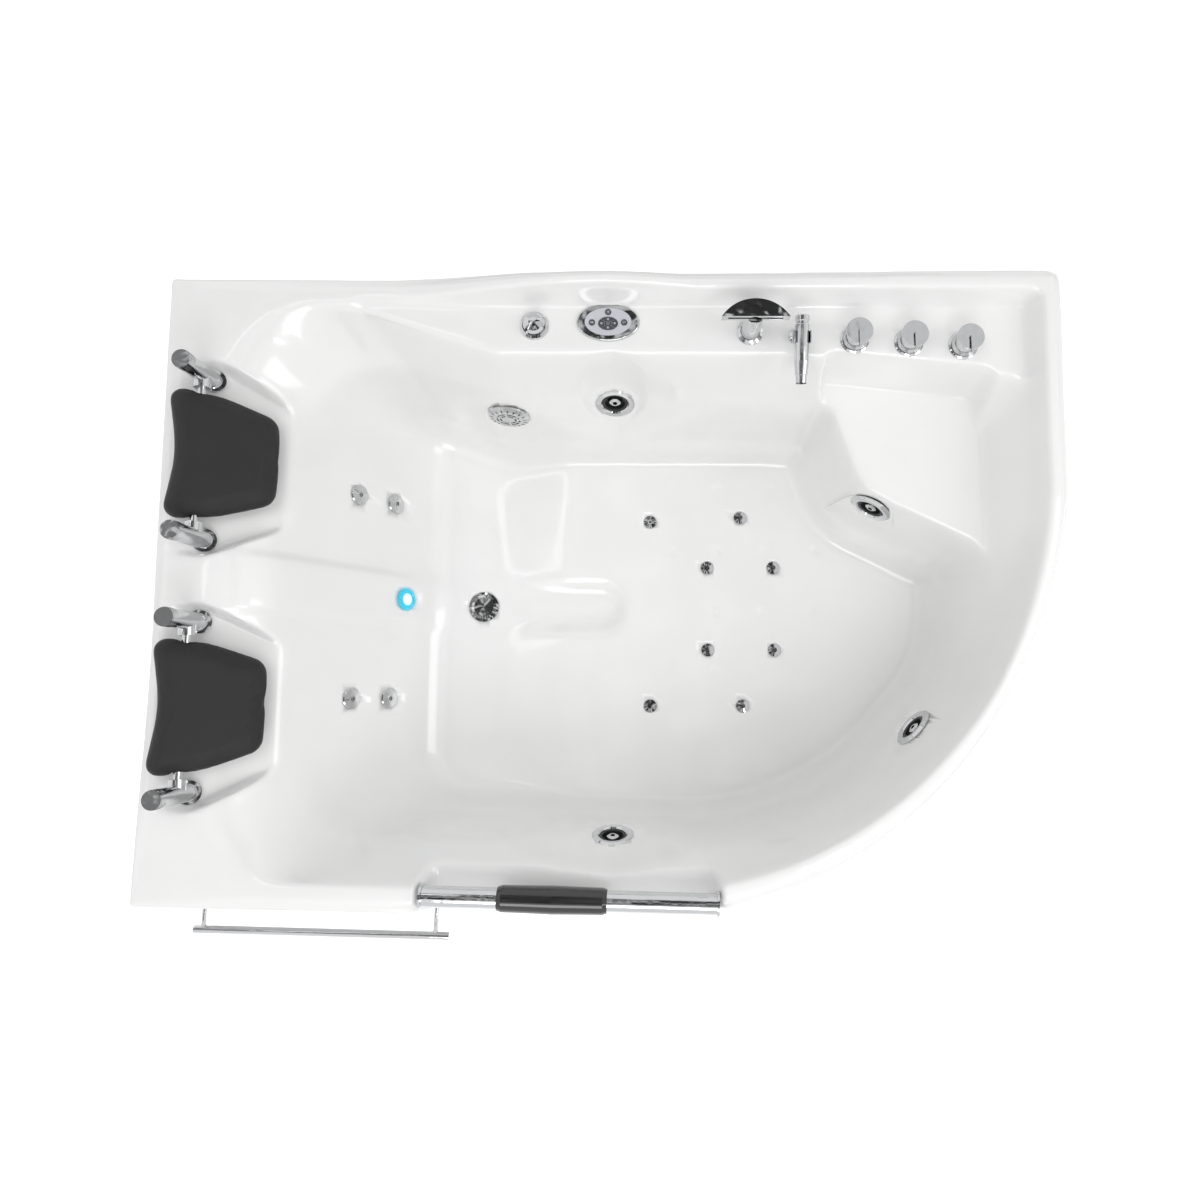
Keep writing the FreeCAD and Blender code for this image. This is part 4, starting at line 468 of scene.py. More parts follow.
def moulded_shell(above, below):
    """The shell with its holes, in one material above and another on the underside."""
    shell = shell_body()
    shell.data.materials.append(above)
    shell.data.materials.append(below)
    cutters = hole_cutter()
    cutters.data.materials.append(above)
    cut = shell.modifiers.new("holes", "BOOLEAN")
    cut.operation = "DIFFERENCE"
    cut.solver = "MANIFOLD"
    cut.object = cutters
    plain_mesh(shell)
    bpy.data.objects.remove(cutters)
    shell.data.shade_smooth()
    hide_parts("tub_shell")
    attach(shell, "tub")


# ---------------------------------------------------------------- finishes
def feed(tree, socket, value):
    """Links a varied value to a socket, or sets a constant on it."""
    if isinstance(value, Varied):
        tree.links.new(value.socket, socket)
    else:
        socket.default_value = value


def title(name):
    return name.replace("_", " ").title()


class Varied:
    """A value that varies over a surface. Sums and products of it become nodes of its material."""

    def __init__(self, tree, socket):
        self.tree = tree
        self.socket = socket

    def maths(self, operation, *others, clamp=False):
        node = self.tree.nodes.new("ShaderNodeMath")
        node.operation = operation
        node.use_clamp = clamp
        for slot, value in zip(node.inputs, (self, *others)):
            feed(self.tree, slot, value)
        return Varied(self.tree, node.outputs[0])

    def __add__(self, other):
        return self.maths("ADD", other)

    def __sub__(self, other):
        return self.maths("SUBTRACT", other)

    def __mul__(self, other):
        return self.maths("MULTIPLY", other)

    def __truediv__(self, other):
        return self.maths("DIVIDE", other)

    def __neg__(self):
        return self.maths("MULTIPLY", -1.0)

    def above(self, edge, softness=0.0):
        """0 below the edge, 1 above it."""
        if not softness:
            return self.maths("GREATER_THAN", edge)
        return ((self - edge) / softness + 0.5).maths("ADD", 0.0, clamp=True)


# socket names that are not plain title case
SOCKETS = {"ior": "IOR", "specular_ior_level": "Specular IOR Level"}


class Finish:
    """A material with one shader. Constants go on the shader itself; varied values are linked."""

    def __init__(self, name, colour, roughness, **more):
        self.material = bpy.data.materials.new(name)
        self.material.use_nodes = True
        self.tree = self.material.node_tree
        self.shader = self.tree.nodes["Principled BSDF"]
        self.shader.inputs["Base Color"].default_value = (*colour, 1.0)
        self.shader.inputs["Roughness"].default_value = roughness
        for socket, value in more.items():
            self.shader.inputs[SOCKETS.get(socket, title(socket))].default_value = value

    def add(self, kind, **inputs):
        node = self.tree.nodes.new(kind)
        for name, value in inputs.items():
            feed(self.tree, node.inputs[title(name)], value)
        return node

    def place(self, centre=(0, 0, 0), stretch=(1, 1, 1)):
        """Where a point of the surface is on the piece."""
        source = self.tree.nodes.new("ShaderNodeTexCoord").outputs["Object"]
        node = self.add("ShaderNodeMapping", vector=Varied(self.tree, source))
        node.inputs["Location"].default_value = [-c * s for c, s in zip(centre, stretch)]
        node.inputs["Scale"].default_value = stretch
        return Varied(self.tree, node.outputs["Vector"])

    def noise(self, place, scale, detail=2.0, roughness=0.5):
        node = self.add("ShaderNodeTexNoise", vector=place, scale=scale, detail=detail,
                        roughness=roughness)
        return Varied(self.tree, node.outputs["Fac"])

    def cells(self, place, scale, feature="F1"):
        node = self.add("ShaderNodeTexVoronoi", vector=place, scale=scale)
        node.feature = feature
        return Varied(self.tree, node.outputs["Distance"])

    def parts(self, place):
        """The x, y and z of a place."""
        node = self.add("ShaderNodeSeparateXYZ", vector=place)
        return [Varied(self.tree, socket) for socket in node.outputs]

    def between(self, share, first, second):
        """A colour between two, by a varied share."""
        node = self.tree.nodes.new("ShaderNodeMix")
        node.data_type = "RGBA"
        self.tree.links.new(share.socket, node.inputs[0])
        for socket, colour in zip(node.inputs[6:8], (first, second)):
            socket.default_value = (*colour, 1.0)
        return Varied(self.tree, node.outputs[2])

    def set(self, socket, value):
        self.tree.links.new(value.socket, self.shader.inputs[socket])

    def bump(self, height, depth):
        """Relief of that real depth."""
        node = self.add("ShaderNodeBump", height=height, distance=depth, strength=1.0)
        self.tree.links.new(node.outputs["Normal"], self.shader.inputs["Normal"])


def grained(name, colour, roughness, gloss, grain, **more):
    """A finish of one colour: gloss is (scale, detail, spread, least), and grain is
    (scale, detail, depth)."""
    f = Finish(name, colour, roughness, **more)
    place = f.place()
    scale, detail, spread, least = gloss
    f.set("Roughness", f.noise(place, scale, detail) * spread + least)
    if grain:
        scale, detail, depth = grain
        f.bump(f.noise(place, scale, detail), depth)
    return f.material


def acrylic():
    """Glossy white sheet acrylic, with the faint waviness of vacuum forming."""
    f = Finish("acrylic", (0.86, 0.86, 0.855), 0.16, coat_weight=0.5, coat_roughness=0.04,
               ior=1.49)
    place = f.place()
    wave = f.noise(place, 9.0, 1.0)
    haze = f.noise(place, 140.0, 3.0)
    f.set("Base Color", f.between(wave, (0.845, 0.845, 0.84), (0.875, 0.875, 0.87)))
    f.set("Roughness", haze * 0.10 + 0.11)
    f.bump(wave * 0.9 + haze * 0.02, 0.0012)
    return f.material


def apron_sheet():
    """The same white, as a flatter vacuum-formed panel."""
    return grained("apron_sheet", (0.84, 0.84, 0.835), 0.20, (90.0, 3.0, 0.12, 0.14),
                   (6.0, 1.0, 0.0016), coat_weight=0.4, coat_roughness=0.06, ior=1.49)


def chrome():
    """Polished chrome plate with water marks and wiping lines that only show in its gloss."""
    f = Finish("chrome", (0.62, 0.625, 0.635), 0.05, metallic=1.0)
    place = f.place()
    marks = f.noise(place, 60.0, 4.0, 0.6)
    wipes = f.noise(f.place(stretch=(1.0, 1.0, 12.0)), 120.0, 2.0)
    f.set("Roughness", marks * 0.07 + wipes * 0.03 + 0.01)
    f.bump(f.noise(place, 34.0, 1.0), 0.0007)
    f.set("Base Color", f.between(marks, (0.59, 0.595, 0.605), (0.66, 0.665, 0.675)))
    return f.material


def black_gloss():
    """Moulded black grip with a fine orange peel."""
    return grained("black_gloss", (0.012, 0.012, 0.013), 0.14, (80.0, 3.0, 0.12, 0.08),
                   (500.0, 1.0, 0.00006), coat_weight=0.6, coat_roughness=0.05)


def pillow_foam():
    """Self-skinned moulded foam: charcoal, with a fine leather grain."""
    f = Finish("pillow_foam", (0.026, 0.026, 0.027), 0.55, specular_ior_level=0.3)
    place = f.place()
    grain = f.cells(place, 900.0, "DISTANCE_TO_EDGE")
    patches = f.noise(place, 22.0, 4.0)
    f.set("Base Color", f.between(patches, (0.017, 0.017, 0.018), (0.024, 0.024, 0.025)))
    f.set("Roughness", patches * 0.16 + 0.48)
    f.bump(grain.maths("MINIMUM", 0.25) * 2.0 + f.noise(place, 60.0, 2.0) * 0.5, 0.00022)
    return f.material


def black_cup():
    return grained("black_cup", (0.018, 0.018, 0.019), 0.42, (200.0, 3.0, 0.25, 0.30),
                   (1200.0, 1.0, 0.00005))


def white_pipe():
    f = Finish("white_pipe", (0.78, 0.78, 0.76), 0.38)
    place = f.place()
    scuffs = f.noise(place, 45.0, 5.0, 0.65)
    f.set("Base Color",
          f.between(scuffs.above(0.56, 0.16), (0.80, 0.80, 0.78), (0.755, 0.75, 0.73)))
    f.set("Roughness", scuffs * 0.25 + 0.26)
    f.bump(f.noise(place, 300.0, 2.0), 0.00010)
    return f.material


def lit_lens():
    """Frosted lens: white in the middle, cyan at its rim."""
    f = Finish("lit_lens", (0.75, 0.95, 1.0), 0.12, coat_weight=0.5, emission_strength=0.9)
    low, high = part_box("light_lens")
    centre = [(a + b) / 2 for a, b in zip(low, high)]
    x, y, z = f.parts(f.place(centre=centre))
    away = (y * y + (x * x + z * z)).maths("SQRT")
    ring = away.above(0.0125, 0.006)
    f.set("Base Color", f.between(ring, (0.60, 0.70, 0.72), (0.0, 0.12, 0.16)))
    f.set("Emission Color", f.between(ring, (0.80, 1.0, 1.0), (0.0, 0.55, 0.80)))
    f.bump(f.cells(f.place(), 260.0), 0.0004)
    return f.material


def lit_rim():
    """Clear plastic rim, full of the lamp's cyan light."""
    f = Finish("lit_rim", (0.0, 0.10, 0.13), 0.15, coat_weight=0.6, coat_roughness=0.05,
               emission_strength=0.9)
    ripple = f.noise(f.place(), 160.0, 2.0)
    f.set("Emission Color", f.between(ripple, (0.0, 0.50, 0.76), (0.06, 0.68, 0.90)))
    f.bump(ripple, 0.0003)
    return f.material


def panel_print():
    """Grey lavender panel skin with a soft sheen."""
    return grained("panel_print", (0.56, 0.56, 0.61), 0.30, (300.0, 3.0, 0.2, 0.2),
                   (1500.0, 1.0, 0.00003), coat_weight=0.3)


def key_caps():
    return grained("key_rubber", (0.055, 0.055, 0.070), 0.42, (400.0, 2.0, 0.2, 0.32),
                   (2500.0, 1.0, 0.00003))


def sign_print():
    """Pale print on the keys."""
    return grained("sign_print", (0.62, 0.63, 0.68), 0.40, (600.0, 2.0, 0.2, 0.30), None)


def glass_mat():
    """The hand-laid glass fibre on the shell's underside: strands in resin."""
    f = Finish("glass_mat", (0.66, 0.64, 0.56), 0.45, coat_weight=0.2)
    place = f.place()
    strands = [f.noise(f.place(stretch=stretch), 60.0, 3.0, 0.6)
               for stretch in ((0.12, 1.0, 1.0), (1.0, 0.12, 1.0), (0.5, 0.5, 0.2))]
    weave = strands[0].maths("MAXIMUM", strands[1]).maths("MAXIMUM", strands[2])
    blotch = f.noise(place, 5.0, 3.0)
    f.set("Base Color",
          f.between(weave.above(0.56, 0.12), (0.60, 0.575, 0.49), (0.74, 0.72, 0.65)))
    f.set("Roughness", blotch * 0.3 + 0.28)
    f.bump(weave + blotch * 0.8, 0.0010)
    return f.material


def coated_steel():
    """Powder coated square tube, lightly dusty."""
    f = Finish("coated_steel", (0.30, 0.31, 0.32), 0.42, metallic=0.6)
    place = f.place()
    peel = f.noise(place, 420.0, 2.0)
    dust = f.noise(place, 14.0, 5.0, 0.6)
    f.set("Base Color",
          f.between(dust.above(0.52, 0.3), (0.33, 0.34, 0.35), (0.24, 0.235, 0.22)))
    f.set("Roughness", dust * 0.3 + 0.28)
    f.bump(peel, 0.00012)
    return f.material


def black_rubber():
    return grained("black_rubber", (0.025, 0.024, 0.023), 0.72, (180.0, 4.0, 0.25, 0.60),
                   (900.0, 2.0, 0.00015))


def pump_plastic():
    return grained("pump_plastic", (0.045, 0.047, 0.050), 0.45, (120.0, 4.0, 0.25, 0.35),
                   (700.0, 2.0, 0.00012))


def motor_enamel():
    f = Finish("motor_enamel", (0.10, 0.14, 0.20), 0.36, coat_weight=0.2)
    place = f.place()
    dust = f.noise(place, 30.0, 5.0)
    f.set("Base Color", f.between(dust, (0.085, 0.12, 0.18), (0.13, 0.17, 0.23)))
    f.set("Roughness", dust * 0.25 + 0.25)
    f.bump(f.noise(place, 350.0, 2.0), 0.00015)
    return f.material


def bright_steel():
    """Zinc plated fasteners: grey, a little uneven."""
    return grained("bright_steel", (0.62, 0.62, 0.60), 0.28, (260.0, 4.0, 0.25, 0.18),
                   (1500.0, 2.0, 0.00004), metallic=1.0)


FINISHES = {
    "acrylic_shell": acrylic, "apron_panel": apron_sheet, "chrome_trim": chrome,
    "pillow_skin": pillow_foam, "grip_black": black_gloss, "jet_cup": black_cup,
    "pipe_white": white_pipe, "light_lens": lit_lens, "panel_face": panel_print,
    "key_caps": key_caps, "frame_steel": coated_steel, "foot_rubber": black_rubber,
    "pump_housing": pump_plastic, "motor_paint": motor_enamel, "screw_steel": bright_steel,
}


def dress_cad_nodes(materials):
    """Gives every CAD node the finish of its material slot."""
    slots = {part["node"]: part["material_slot"] for part in frame["record"]["subparts"]}
    for name, obj in nodes.items():
        obj.data.materials.clear()
        obj.data.materials.append(materials[slots[name]])


# ---------------------------------------------------------------- headrest pillows
PILLOW_VOXEL = 0.005
PILLOW_SHRINK = 0.0022     # the pad swells by about this much again
PILLOW_CAP = 0.0032        # the furthest that a point may move
PILLOW_PRESSURE = 4.0
PILLOW_STIFFNESS = 40.0
SMOOTHINGS = 12
SIM_FRAMES = 20


def pillow(node, name, body):
    """A moulded foam headrest, swollen a little by a cloth simulation."""
    obj = new_object(name, written(merged(nodes[node].data), bpy.data.meshes.new(name)))
    remesh = obj.modifiers.new("even", "REMESH")
    remesh.mode = "VOXEL"
    remesh.voxel_size = PILLOW_VOXEL
    smooth = obj.modifiers.new("smooth", "SMOOTH")
    smooth.factor = 0.5
    smooth.iterations = SMOOTHINGS
    shrink = obj.modifiers.new("shrink", "DISPLACE")
    shrink.mid_level = 0.0
    shrink.strength = -PILLOW_SHRINK
    plain_mesh(obj)
    swell(obj)
    finer = obj.modifiers.new("finer", "SUBSURF")
    finer.levels = finer.render_levels = 1
    plain_mesh(obj)
    obj.data.shade_smooth()
    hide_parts(node)
    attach(obj, body)
    return obj


def swell(obj):
    """Runs the cloth for a few frames and keeps each point near where it was."""
    start = np.empty(len(obj.data.vertices) * 3)
    obj.data.vertices.foreach_get("co", start)
    cloth = obj.modifiers.new("cloth", "CLOTH")
    settings = cloth.settings
    settings.use_pressure = True
    settings.uniform_pressure_force = PILLOW_PRESSURE
    settings.effector_weights.gravity = 0.0
    settings.tension_stiffness = settings.compression_stiffness = PILLOW_STIFFNESS
    settings.quality = 5
    cloth.point_cache.frame_start = 1
    cloth.point_cache.frame_end = SIM_FRAMES
    scene = bpy.context.scene
    for step in range(1, SIM_FRAMES + 1):
        scene.frame_set(step)
    made = obj.evaluated_get(bpy.context.evaluated_depsgraph_get()).to_mesh()
    end = np.empty(len(made.vertices) * 3)
    made.vertices.foreach_get("co", end)
    obj.modifiers.clear()
    scene.frame_set(1)
    move = (end - start).reshape(-1, 3)
    length = np.linalg.norm(move, axis=1)[:, None]
    move *= np.minimum(1, PILLOW_CAP / np.maximum(length, 1e-9))
    obj.data.vertices.foreach_set("co", (start.reshape(-1, 3) + move).ravel())
    obj.data.update()


# ---------------------------------------------------------------- pieces that repeat
class Form:
    """A Geometry Nodes tree with named sizes. It ends in Realize Instances and Set Material."""

    def __init__(self, name, **sizes):
        self.tree = bpy.data.node_groups.new(name, "GeometryNodeTree")
        self.tree.interface.new_socket("Geometry", in_out="OUTPUT",
                                       socket_type="NodeSocketGeometry")
        self.keys = {}
        for size, value in sizes.items():
            kind = "NodeSocketInt" if isinstance(value, int) else "NodeSocketFloat"
            self.keys[size] = self.socket(title(size), kind)
        self.keys["finish"] = self.socket("Finish", "NodeSocketMaterial")
        self.given = self.tree.nodes.new("NodeGroupInput")
        self.defaults = sizes

    def socket(self, name, kind):
        made = self.tree.interface.new_socket(name, in_out="INPUT", socket_type=kind)
        return made.identifier

    def size(self, name):
        return Varied(self.tree, self.given.outputs[title(name)])

    def add(self, kind, **inputs):
        node = self.tree.nodes.new(kind)
        for name, value in inputs.items():
            feed(self.tree, node.inputs[title(name)], value)
        return Varied(self.tree, node.outputs[0])

    def vector(self, x, y, z):
        node = self.tree.nodes.new("ShaderNodeCombineXYZ")
        for slot, value in zip(node.inputs, (x, y, z)):
            feed(self.tree, slot, value)
        return Varied(self.tree, node.outputs[0])

    def finish(self, geometry):
        whole = self.add("GeometryNodeRealizeInstances", geometry=geometry)
        coated = self.add("GeometryNodeSetMaterial", geometry=whole, material=self.size("finish"))
        out = self.tree.nodes.new("NodeGroupOutput")
        self.tree.links.new(coated.socket, out.inputs[0])
        return self

    def mesh(self, place, material, **sizes):
        """The tree's result as a plain mesh, put in its place."""
        holder = new_object("holder", bpy.data.meshes.new("holder"))
        modifier = holder.modifiers.new("form", "NODES")
        modifier.node_group = self.tree
        for name, value in {**self.defaults, **sizes, "finish": material}.items():
            modifier[self.keys[name]] = value
        plain_mesh(holder)
        mesh = holder.data
        bpy.data.objects.remove(holder)
        mesh.transform(place)
        return mesh


def bar_ring():
    """Bars set round a circle, pointing outwards."""
    form = Form("bar_ring", count=24, radius=0.02, depth=0.001, width=0.001, height=0.010)
    points = form.add("GeometryNodeMeshCircle", vertices=form.size("count"),
                      radius=form.size("radius"))
    sides = form.vector(*map(form.size, ("depth", "width", "height")))
    bar = form.add("GeometryNodeMeshCube", size=sides)
    turn = form.add("GeometryNodeInputIndex") * (2 * math.pi) / form.size("count")
    return form.finish(form.add("GeometryNodeInstanceOnPoints", points=points, instance=bar,
                                rotation=form.vector(0.0, 0.0, turn)))


GOLDEN_TURN = 2.39996      # radians from one seed to the next


def nub_disc():
    """Small round nubs spread evenly over a disc, as the seeds of a sunflower are."""
    form = Form("nub_disc", count=40, reach=0.010, nub_radius=0.0006, nub_height=0.0012)
    number = form.add("GeometryNodeInputIndex") + 0.5
    away = (number / form.size("count")).maths("SQRT") * form.size("reach")
    turn = number * GOLDEN_TURN
    spot = form.vector(turn.maths("COSINE") * away, turn.maths("SINE") * away, 0.0)
    points = form.add("GeometryNodePoints", count=form.size("count"), position=spot)
    nub = form.add("GeometryNodeMeshCone", vertices=8, radius_top=form.size("nub_radius") * 0.6,
                   radius_bottom=form.size("nub_radius"), depth=form.size("nub_height"))
    return form.finish(form.add("GeometryNodeInstanceOnPoints", points=points, instance=nub))


def screw_thread():
    """A thread wound round a stud."""
    form = Form("screw_thread", turns=40.0, radius=0.006, height=0.080, ridge=0.0006)
    line = form.add("GeometryNodeCurveSpiral", resolution=14, rotations=form.size("turns"),
                    start_radius=form.size("radius"), end_radius=form.size("radius"),
                    height=form.size("height"))
    ridge = form.add("GeometryNodeCurvePrimitiveCircle", resolution=4, radius=form.size("ridge"))
    wound = form.add("GeometryNodeCurveToMesh", curve=line, profile_curve=ridge, fill_caps=True)
    return form.finish(wound)


def gathered(name, meshes, body, material):
    """Joins meshes into one piece that rides a body."""
    work = bmesh.new()
    for mesh in meshes:
        work.from_mesh(mesh)
        bpy.data.meshes.remove(mesh)
    whole = written(work, bpy.data.meshes.new(name))
    whole.materials.clear()
    whole.materials.append(material)
    obj = new_object(name, whole)
    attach(obj, body)


KNURLS = 56
KNURL_HEIGHT = 0.016
KNURL_BELOW_TOP = 0.003
KNURL_SIDE = 0.0010
POST_R = 0.017
STUD_R = 0.006
STUD_FROM = 0.014
STUD_PLAIN = 0.004          # without thread at the top
THREAD_PITCH = 0.0020
THREAD_RIDGE = 0.0007
MOTOR_AXIS_UP = 0.085
GRILLE_BARS = 28
GRILLE_RINGS = ((0.046, 0.020), (0.022, 0.016))     # radius and bar length
HANDSET_R = 0.0135
SYMBOL_RISE = 0.0003
SYMBOL_WIDE = 0.0040        # an arrow key's bar: long way, and both ways together
SYMBOL_NARROW = 0.0012
SYMBOL_SUM = 0.0052
HEAT_STEP = 0.0018
CAP_RISE = 0.0030
CAP_SPARE = 0.0002
KEY_NAMES = ("hub", "left", "right", "up", "down", "light", "heat", "air")


def lifted(x, y, z):
    return Matrix.Translation(Vector((x, y, z)))


def repeated_pieces(materials):
    """Knurls, threads, grille, caps, spray nubs and signs."""
    ring, nubs, thread = bar_ring(), nub_disc(), screw_thread()
    chrome_plate, steel = materials["chrome_trim"], materials["screw_steel"]

    knurls = []
    for points in islands(nodes["pillow_posts"]):
        top = points[:, 2].max()
        column = points[points[:, 2] > top - 0.001]
        x, y = middle_of(column[:, :2])
        middle = top - KNURL_BELOW_TOP - KNURL_HEIGHT / 2
        knurls.append(ring.mesh(lifted(x, y, middle), chrome_plate, count=KNURLS, radius=POST_R,
                                depth=KNURL_SIDE, width=KNURL_SIDE, height=KNURL_HEIGHT))
    gathered("post_knurls", knurls, "tub", chrome_plate)

    threads = []
    for points in islands(nodes["levelling_feet"]):
        x, y = middle_of(points[:, :2])
        height = points[:, 2].max() - STUD_FROM - STUD_PLAIN
        threads.append(thread.mesh(lifted(x, y, STUD_FROM), steel, turns=height / THREAD_PITCH,
                                   radius=STUD_R, height=height, ridge=THREAD_RIDGE))
    gathered("stud_threads", threads, "tub", steel)

    low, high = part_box("motor")
    side = Matrix.Rotation(math.pi / 2, 4, "Y")
    end = lifted(high[0], (low[1] + high[1]) / 2, low[2] + MOTOR_AXIS_UP) @ side
    paint = materials["motor_paint"]
    grille = [ring.mesh(end, paint, count=GRILLE_BARS, radius=radius, depth=depth, width=0.0026,
                        height=0.0030) for radius, depth in GRILLE_RINGS]
    gathered("fan_grille", grille, "tub", paint)

    rail_caps(chrome_plate)
    face = face_of_handset()
    spray = nubs.mesh(face, materials["foot_rubber"], count=34, reach=HANDSET_R * 0.72,
                      nub_radius=0.0008, nub_height=0.0016)
    gathered("spray_nubs", [spray], "hand_shower", materials["foot_rubber"])
    panel_symbols(ring, nubs)


def rail_caps(material):
    """Domed caps on the two open ends of the handrail."""
    points = np.concatenate(islands(nodes["rail_tube"]))
    ends = []
    for way in (-1, 1):
        along = points[:, 0] * way
        rim = points[along > along.max() - 0.0008]
        ends.append(middle_of(rim))
    radius = (rim[:, 2].max() - rim[:, 2].min()) / 2
    axis = Vector(ends[1] - ends[0]).normalized()
    caps = []
    for middle, way in zip(ends, (-axis, axis)):
        work = bmesh.new()
        bmesh.ops.create_uvsphere(work, u_segments=40, v_segments=16, radius=radius - CAP_SPARE)
        flat = Matrix.Diagonal((1, 1, CAP_RISE / radius, 1))
        place = Matrix.Translation(Vector(middle) - way * CAP_RISE) @ turned_to(way) @ flat
        bmesh.ops.transform(work, matrix=place, verts=work.verts)
        for face in work.faces:
            face.smooth = True
        caps.append(written(work, bpy.data.meshes.new("cap")))
    gathered("rail_caps", caps, "tub", material)


def face_of_handset():
    """The middle of the handset's front end, with z along the handset."""
    points = np.concatenate(islands(nodes["handset"]))
    centre = points.mean(0)
    axis = np.linalg.eigh(np.cov((points - centre).T))[1][:, 2]
    if axis[1] > 0:
        axis = -axis
    along = (points - centre) @ axis
    rim = points[along > along.max() - 0.0005]
    return Matrix.Translation(Vector(middle_of(rim))) @ turned_to(axis)


def panel_symbols(ring, nubs):
    """A small plain sign on each key."""
    print_white = sign_print()
    for key in KEY_NAMES:
        low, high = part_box("key_" + key)
        top = lifted((low[0] + high[0]) / 2, (low[1] + high[1]) / 2, high[2])

        def bars(place=top, **sizes):
            return ring.mesh(place, print_white, height=SYMBOL_RISE, **sizes)

        def dots(**sizes):
            return nubs.mesh(top, print_white, nub_height=SYMBOL_RISE, **sizes)

        if key == "light":
            signs = [bars(count=8, radius=0.0032, depth=0.0016, width=0.0005),
                     dots(count=1, reach=0.0, nub_radius=0.0013)]
        elif key == "air":
            signs = [dots(count=7, reach=0.0036, nub_radius=0.0007)]
        elif key == "heat":
            signs = [bars(top @ lifted(dx, 0, 0), count=3, radius=0.0, depth=0.0004,
                          width=SYMBOL_SUM) for dx in (-HEAT_STEP, 0.0, HEAT_STEP)]
        elif key == "hub":
            signs = [bars(count=20, radius=0.0024, depth=0.0005, width=0.0008)]
        else:
            wide = SYMBOL_WIDE if key in ("up", "down") else SYMBOL_NARROW
            signs = [bars(count=3, radius=0.0, depth=wide, width=SYMBOL_SUM - wide)]
        gathered("sign_" + key, signs, "button_" + key, print_white)


# ---------------------------------------------------------------- studio
FLOOR_HALF = 6.0
FLOOR_SINK = 0.0005
FLOOR_GREY = 0.82
FLOOR_GLOW = 0.56          # what the floor adds where it is looked at, to reach plain white
WORLD_LIGHT = 0.56
# name, place, what it looks at, size and power
LAMPS = (("key", (0.1, -2.5, 3.1), (0, 0, 0.3), (2.4, 1.2), 33),
         ("top", (-0.8, 0.3, 3.3), (-0.4, 0, 0.3), (1.6, 1.6), 18),
         ("side", (2.4, -0.3, 2.2), (-0.5, 0, 0.3), (1.2, 1.6), 15),
         ("glint", (0.9, -1.0, 2.5), (0.2, 0, 0.3), (0.10, 0.60), 4))
CARD_EDGES = (-2.6, 2.8, -1.3, 2.0)
CARD_HEIGHT = 3.2
CARD_LEAST = 0.035
CAMERA_AT = (0.0737, -0.1551, 2.1587)
CAMERA_TILT = 6.71         # degrees off straight down
CAMERA_LENS = 25.5
CAMERA_SHIFT = (-0.0417, -0.0083)


def add_camera():
    data = bpy.data.cameras.new("camera")
    data.lens = CAMERA_LENS
    data.sensor_width = 36.0
    data.shift_x, data.shift_y = CAMERA_SHIFT
    data.clip_start = 0.01
    obj = new_object("camera", data)
    obj.location = CAMERA_AT
    obj.rotation_euler = (math.radians(CAMERA_TILT), 0, 0)
    bpy.context.scene.camera = obj


def area_lamp(name, at, towards, size, power):
    data = bpy.data.lights.new(name, "AREA")
    data.shape = "RECTANGLE"
    data.size, data.size_y = size
    data.energy = power
    obj = new_object(name, data)
    obj.location = at
    obj.rotation_euler = (Vector(towards) - Vector(at)).to_track_quat("-Z", "Y").to_euler()


def level_sheet(name, left, right, front, back, height):
    """A flat sheet with an empty material, and the material's tree."""
    sheet = mesh_object(name, [(left, front, height), (right, front, height),
                               (right, back, height), (left, back, height)], [(0, 1, 2, 3)])
    material = bpy.data.materials.new(name)
    material.use_nodes = True
    material.node_tree.nodes.clear()
    sheet.data.materials.append(material)
    return sheet, material.node_tree


def seen_directly(tree):
    """One on rays from the camera, on mirrored ones and on ones through glass, else nothing."""
    path = tree.nodes.new("ShaderNodeLightPath")
    straight = Varied(tree, path.outputs["Is Camera Ray"])
    through = Varied(tree, path.outputs["Is Transmission Ray"])
    mirrored = Varied(tree, path.outputs["Is Glossy Ray"])
    return straight.maths("MAXIMUM", through).maths("MAXIMUM", mirrored)


def white_floor():
    """A white floor that keeps the tub's shadow and is pure white away from it."""
    floor, tree = level_sheet("floor", -FLOOR_HALF, FLOOR_HALF, -FLOOR_HALF, FLOOR_HALF,
                              -FLOOR_SINK)
    plain = tree.nodes.new("ShaderNodeBsdfDiffuse")
    plain.inputs["Color"].default_value = (FLOOR_GREY, FLOOR_GREY, FLOOR_GREY, 1)
    glow = tree.nodes.new("ShaderNodeEmission")
    glow.inputs["Color"].default_value = (1, 1, 1, 1)
    both = tree.nodes.new("ShaderNodeAddShader")
    out = tree.nodes.new("ShaderNodeOutputMaterial")
    tree.links.new((seen_directly(tree) * FLOOR_GLOW).socket, glow.inputs["Strength"])
    tree.links.new(plain.outputs[0], both.inputs[0])
    tree.links.new(glow.outputs[0], both.inputs[1])
    tree.links.new(both.outputs[0], out.inputs["Surface"])


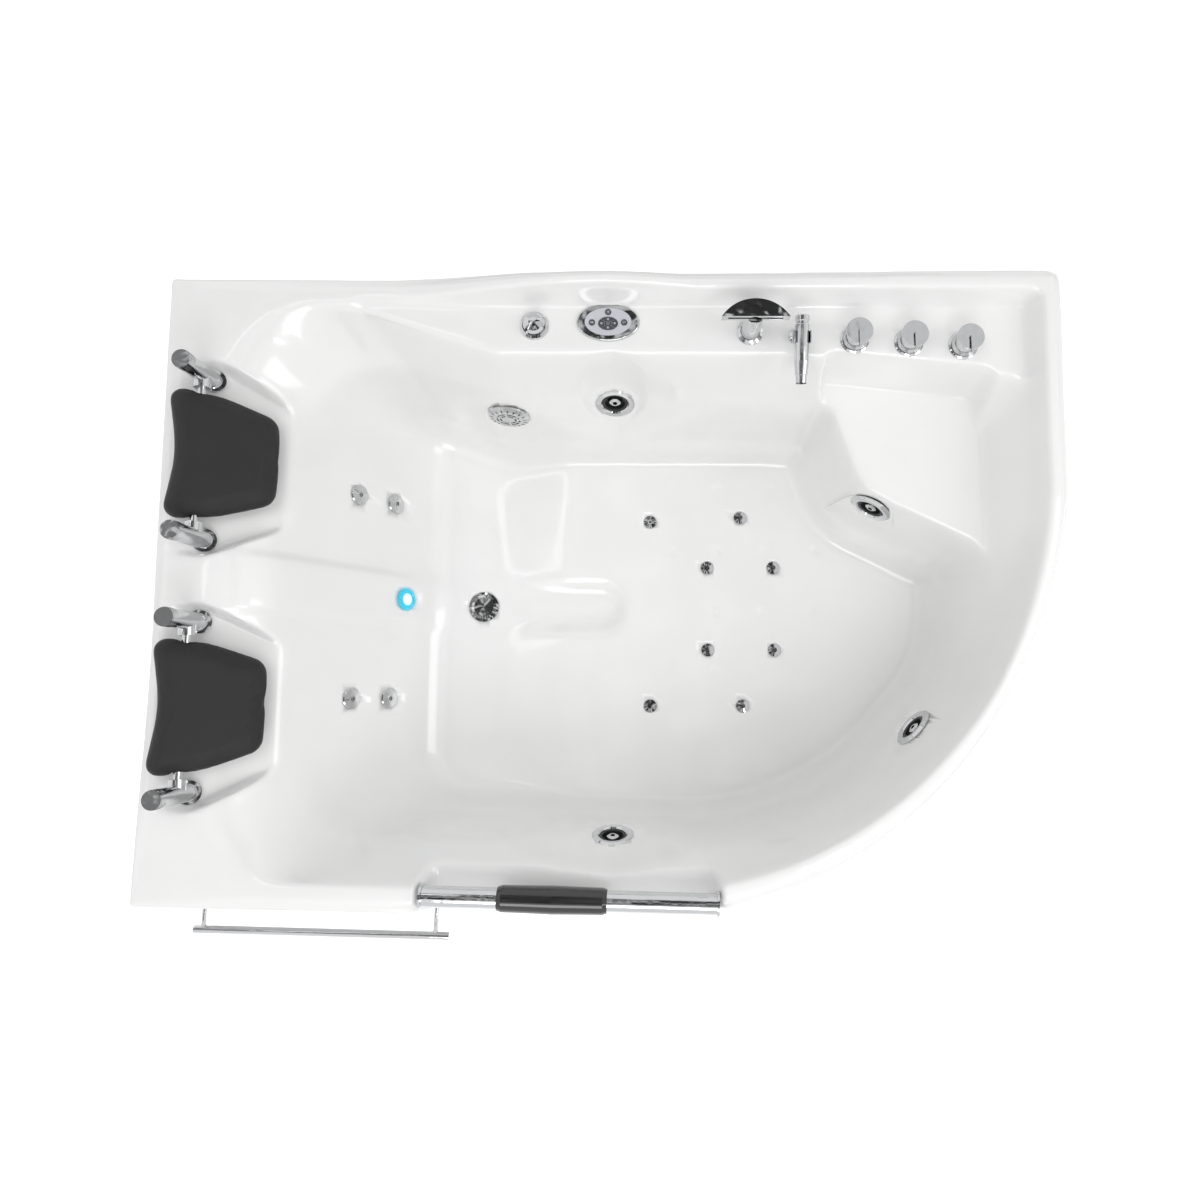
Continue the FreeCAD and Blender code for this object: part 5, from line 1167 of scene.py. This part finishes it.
def studio_world():
    """Even soft light, seen as plain white."""
    world = bpy.data.worlds.new("studio")
    bpy.context.scene.world = world
    world.use_nodes = True
    tree = world.node_tree
    tree.nodes.clear()
    light = tree.nodes.new("ShaderNodeBackground")
    light.inputs["Color"].default_value = (1, 1, 1, 1)
    light.inputs["Strength"].default_value = WORLD_LIGHT
    white = tree.nodes.new("ShaderNodeBackground")
    white.inputs["Color"].default_value = (1, 1, 1, 1)
    mix = tree.nodes.new("ShaderNodeMixShader")
    out = tree.nodes.new("ShaderNodeOutputWorld")
    tree.links.new(seen_directly(tree).socket, mix.inputs[0])
    tree.links.new(light.outputs[0], mix.inputs[1])
    tree.links.new(white.outputs[0], mix.inputs[2])
    tree.links.new(mix.outputs[0], out.inputs["Surface"])


def mirror_card():
    """A card overhead that only polished surfaces mirror: dark, streaked, paler to the right."""
    card, tree = level_sheet("mirror_card", *CARD_EDGES, CARD_HEIGHT)
    where = tree.nodes.new("ShaderNodeTexCoord")
    parts = tree.nodes.new("ShaderNodeSeparateXYZ")
    tree.links.new(where.outputs["Object"], parts.inputs[0])
    noise = tree.nodes.new("ShaderNodeTexNoise")
    noise.inputs["Scale"].default_value = 5.0
    noise.inputs["Detail"].default_value = 1.0
    tree.links.new(where.outputs["Object"], noise.inputs["Vector"])
    streak = Varied(tree, noise.outputs["Fac"]).above(0.56, 0.05) * 0.80
    across = Varied(tree, parts.outputs["X"])
    right_side = across.above(0.95, 0.25) * 0.75
    left_side = (-across).above(1.45, 0.4) * 0.22
    brightness = streak.maths("MAXIMUM", right_side + left_side) + CARD_LEAST
    glow = tree.nodes.new("ShaderNodeEmission")
    tree.links.new(brightness.socket, glow.inputs["Strength"])
    out = tree.nodes.new("ShaderNodeOutputMaterial")
    tree.links.new(glow.outputs[0], out.inputs["Surface"])
    card.visible_camera = False
    card.visible_diffuse = False
    card.visible_shadow = False


def studio():
    add_camera()
    white_floor()
    studio_world()
    mirror_card()
    for lamp in LAMPS:
        area_lamp(*lamp)
    bpy.context.scene.view_settings.view_transform = "Standard"


# ---------------------------------------------------------------- the whole object
def build():
    materials = {slot: make() for slot, make in FINISHES.items()}
    dress_cad_nodes(materials)
    moulded_shell(materials["acrylic_shell"], glass_mat())
    for side in ("back", "front"):
        pad = pillow("pillow_" + side, "headrest_pad_" + side, "headrest_" + side)
        pad.data.materials.clear()
        pad.data.materials.append(materials["pillow_skin"])
    nodes["light_bezel"].data.materials[0] = lit_rim()
    repeated_pieces(materials)
    studio()


build()
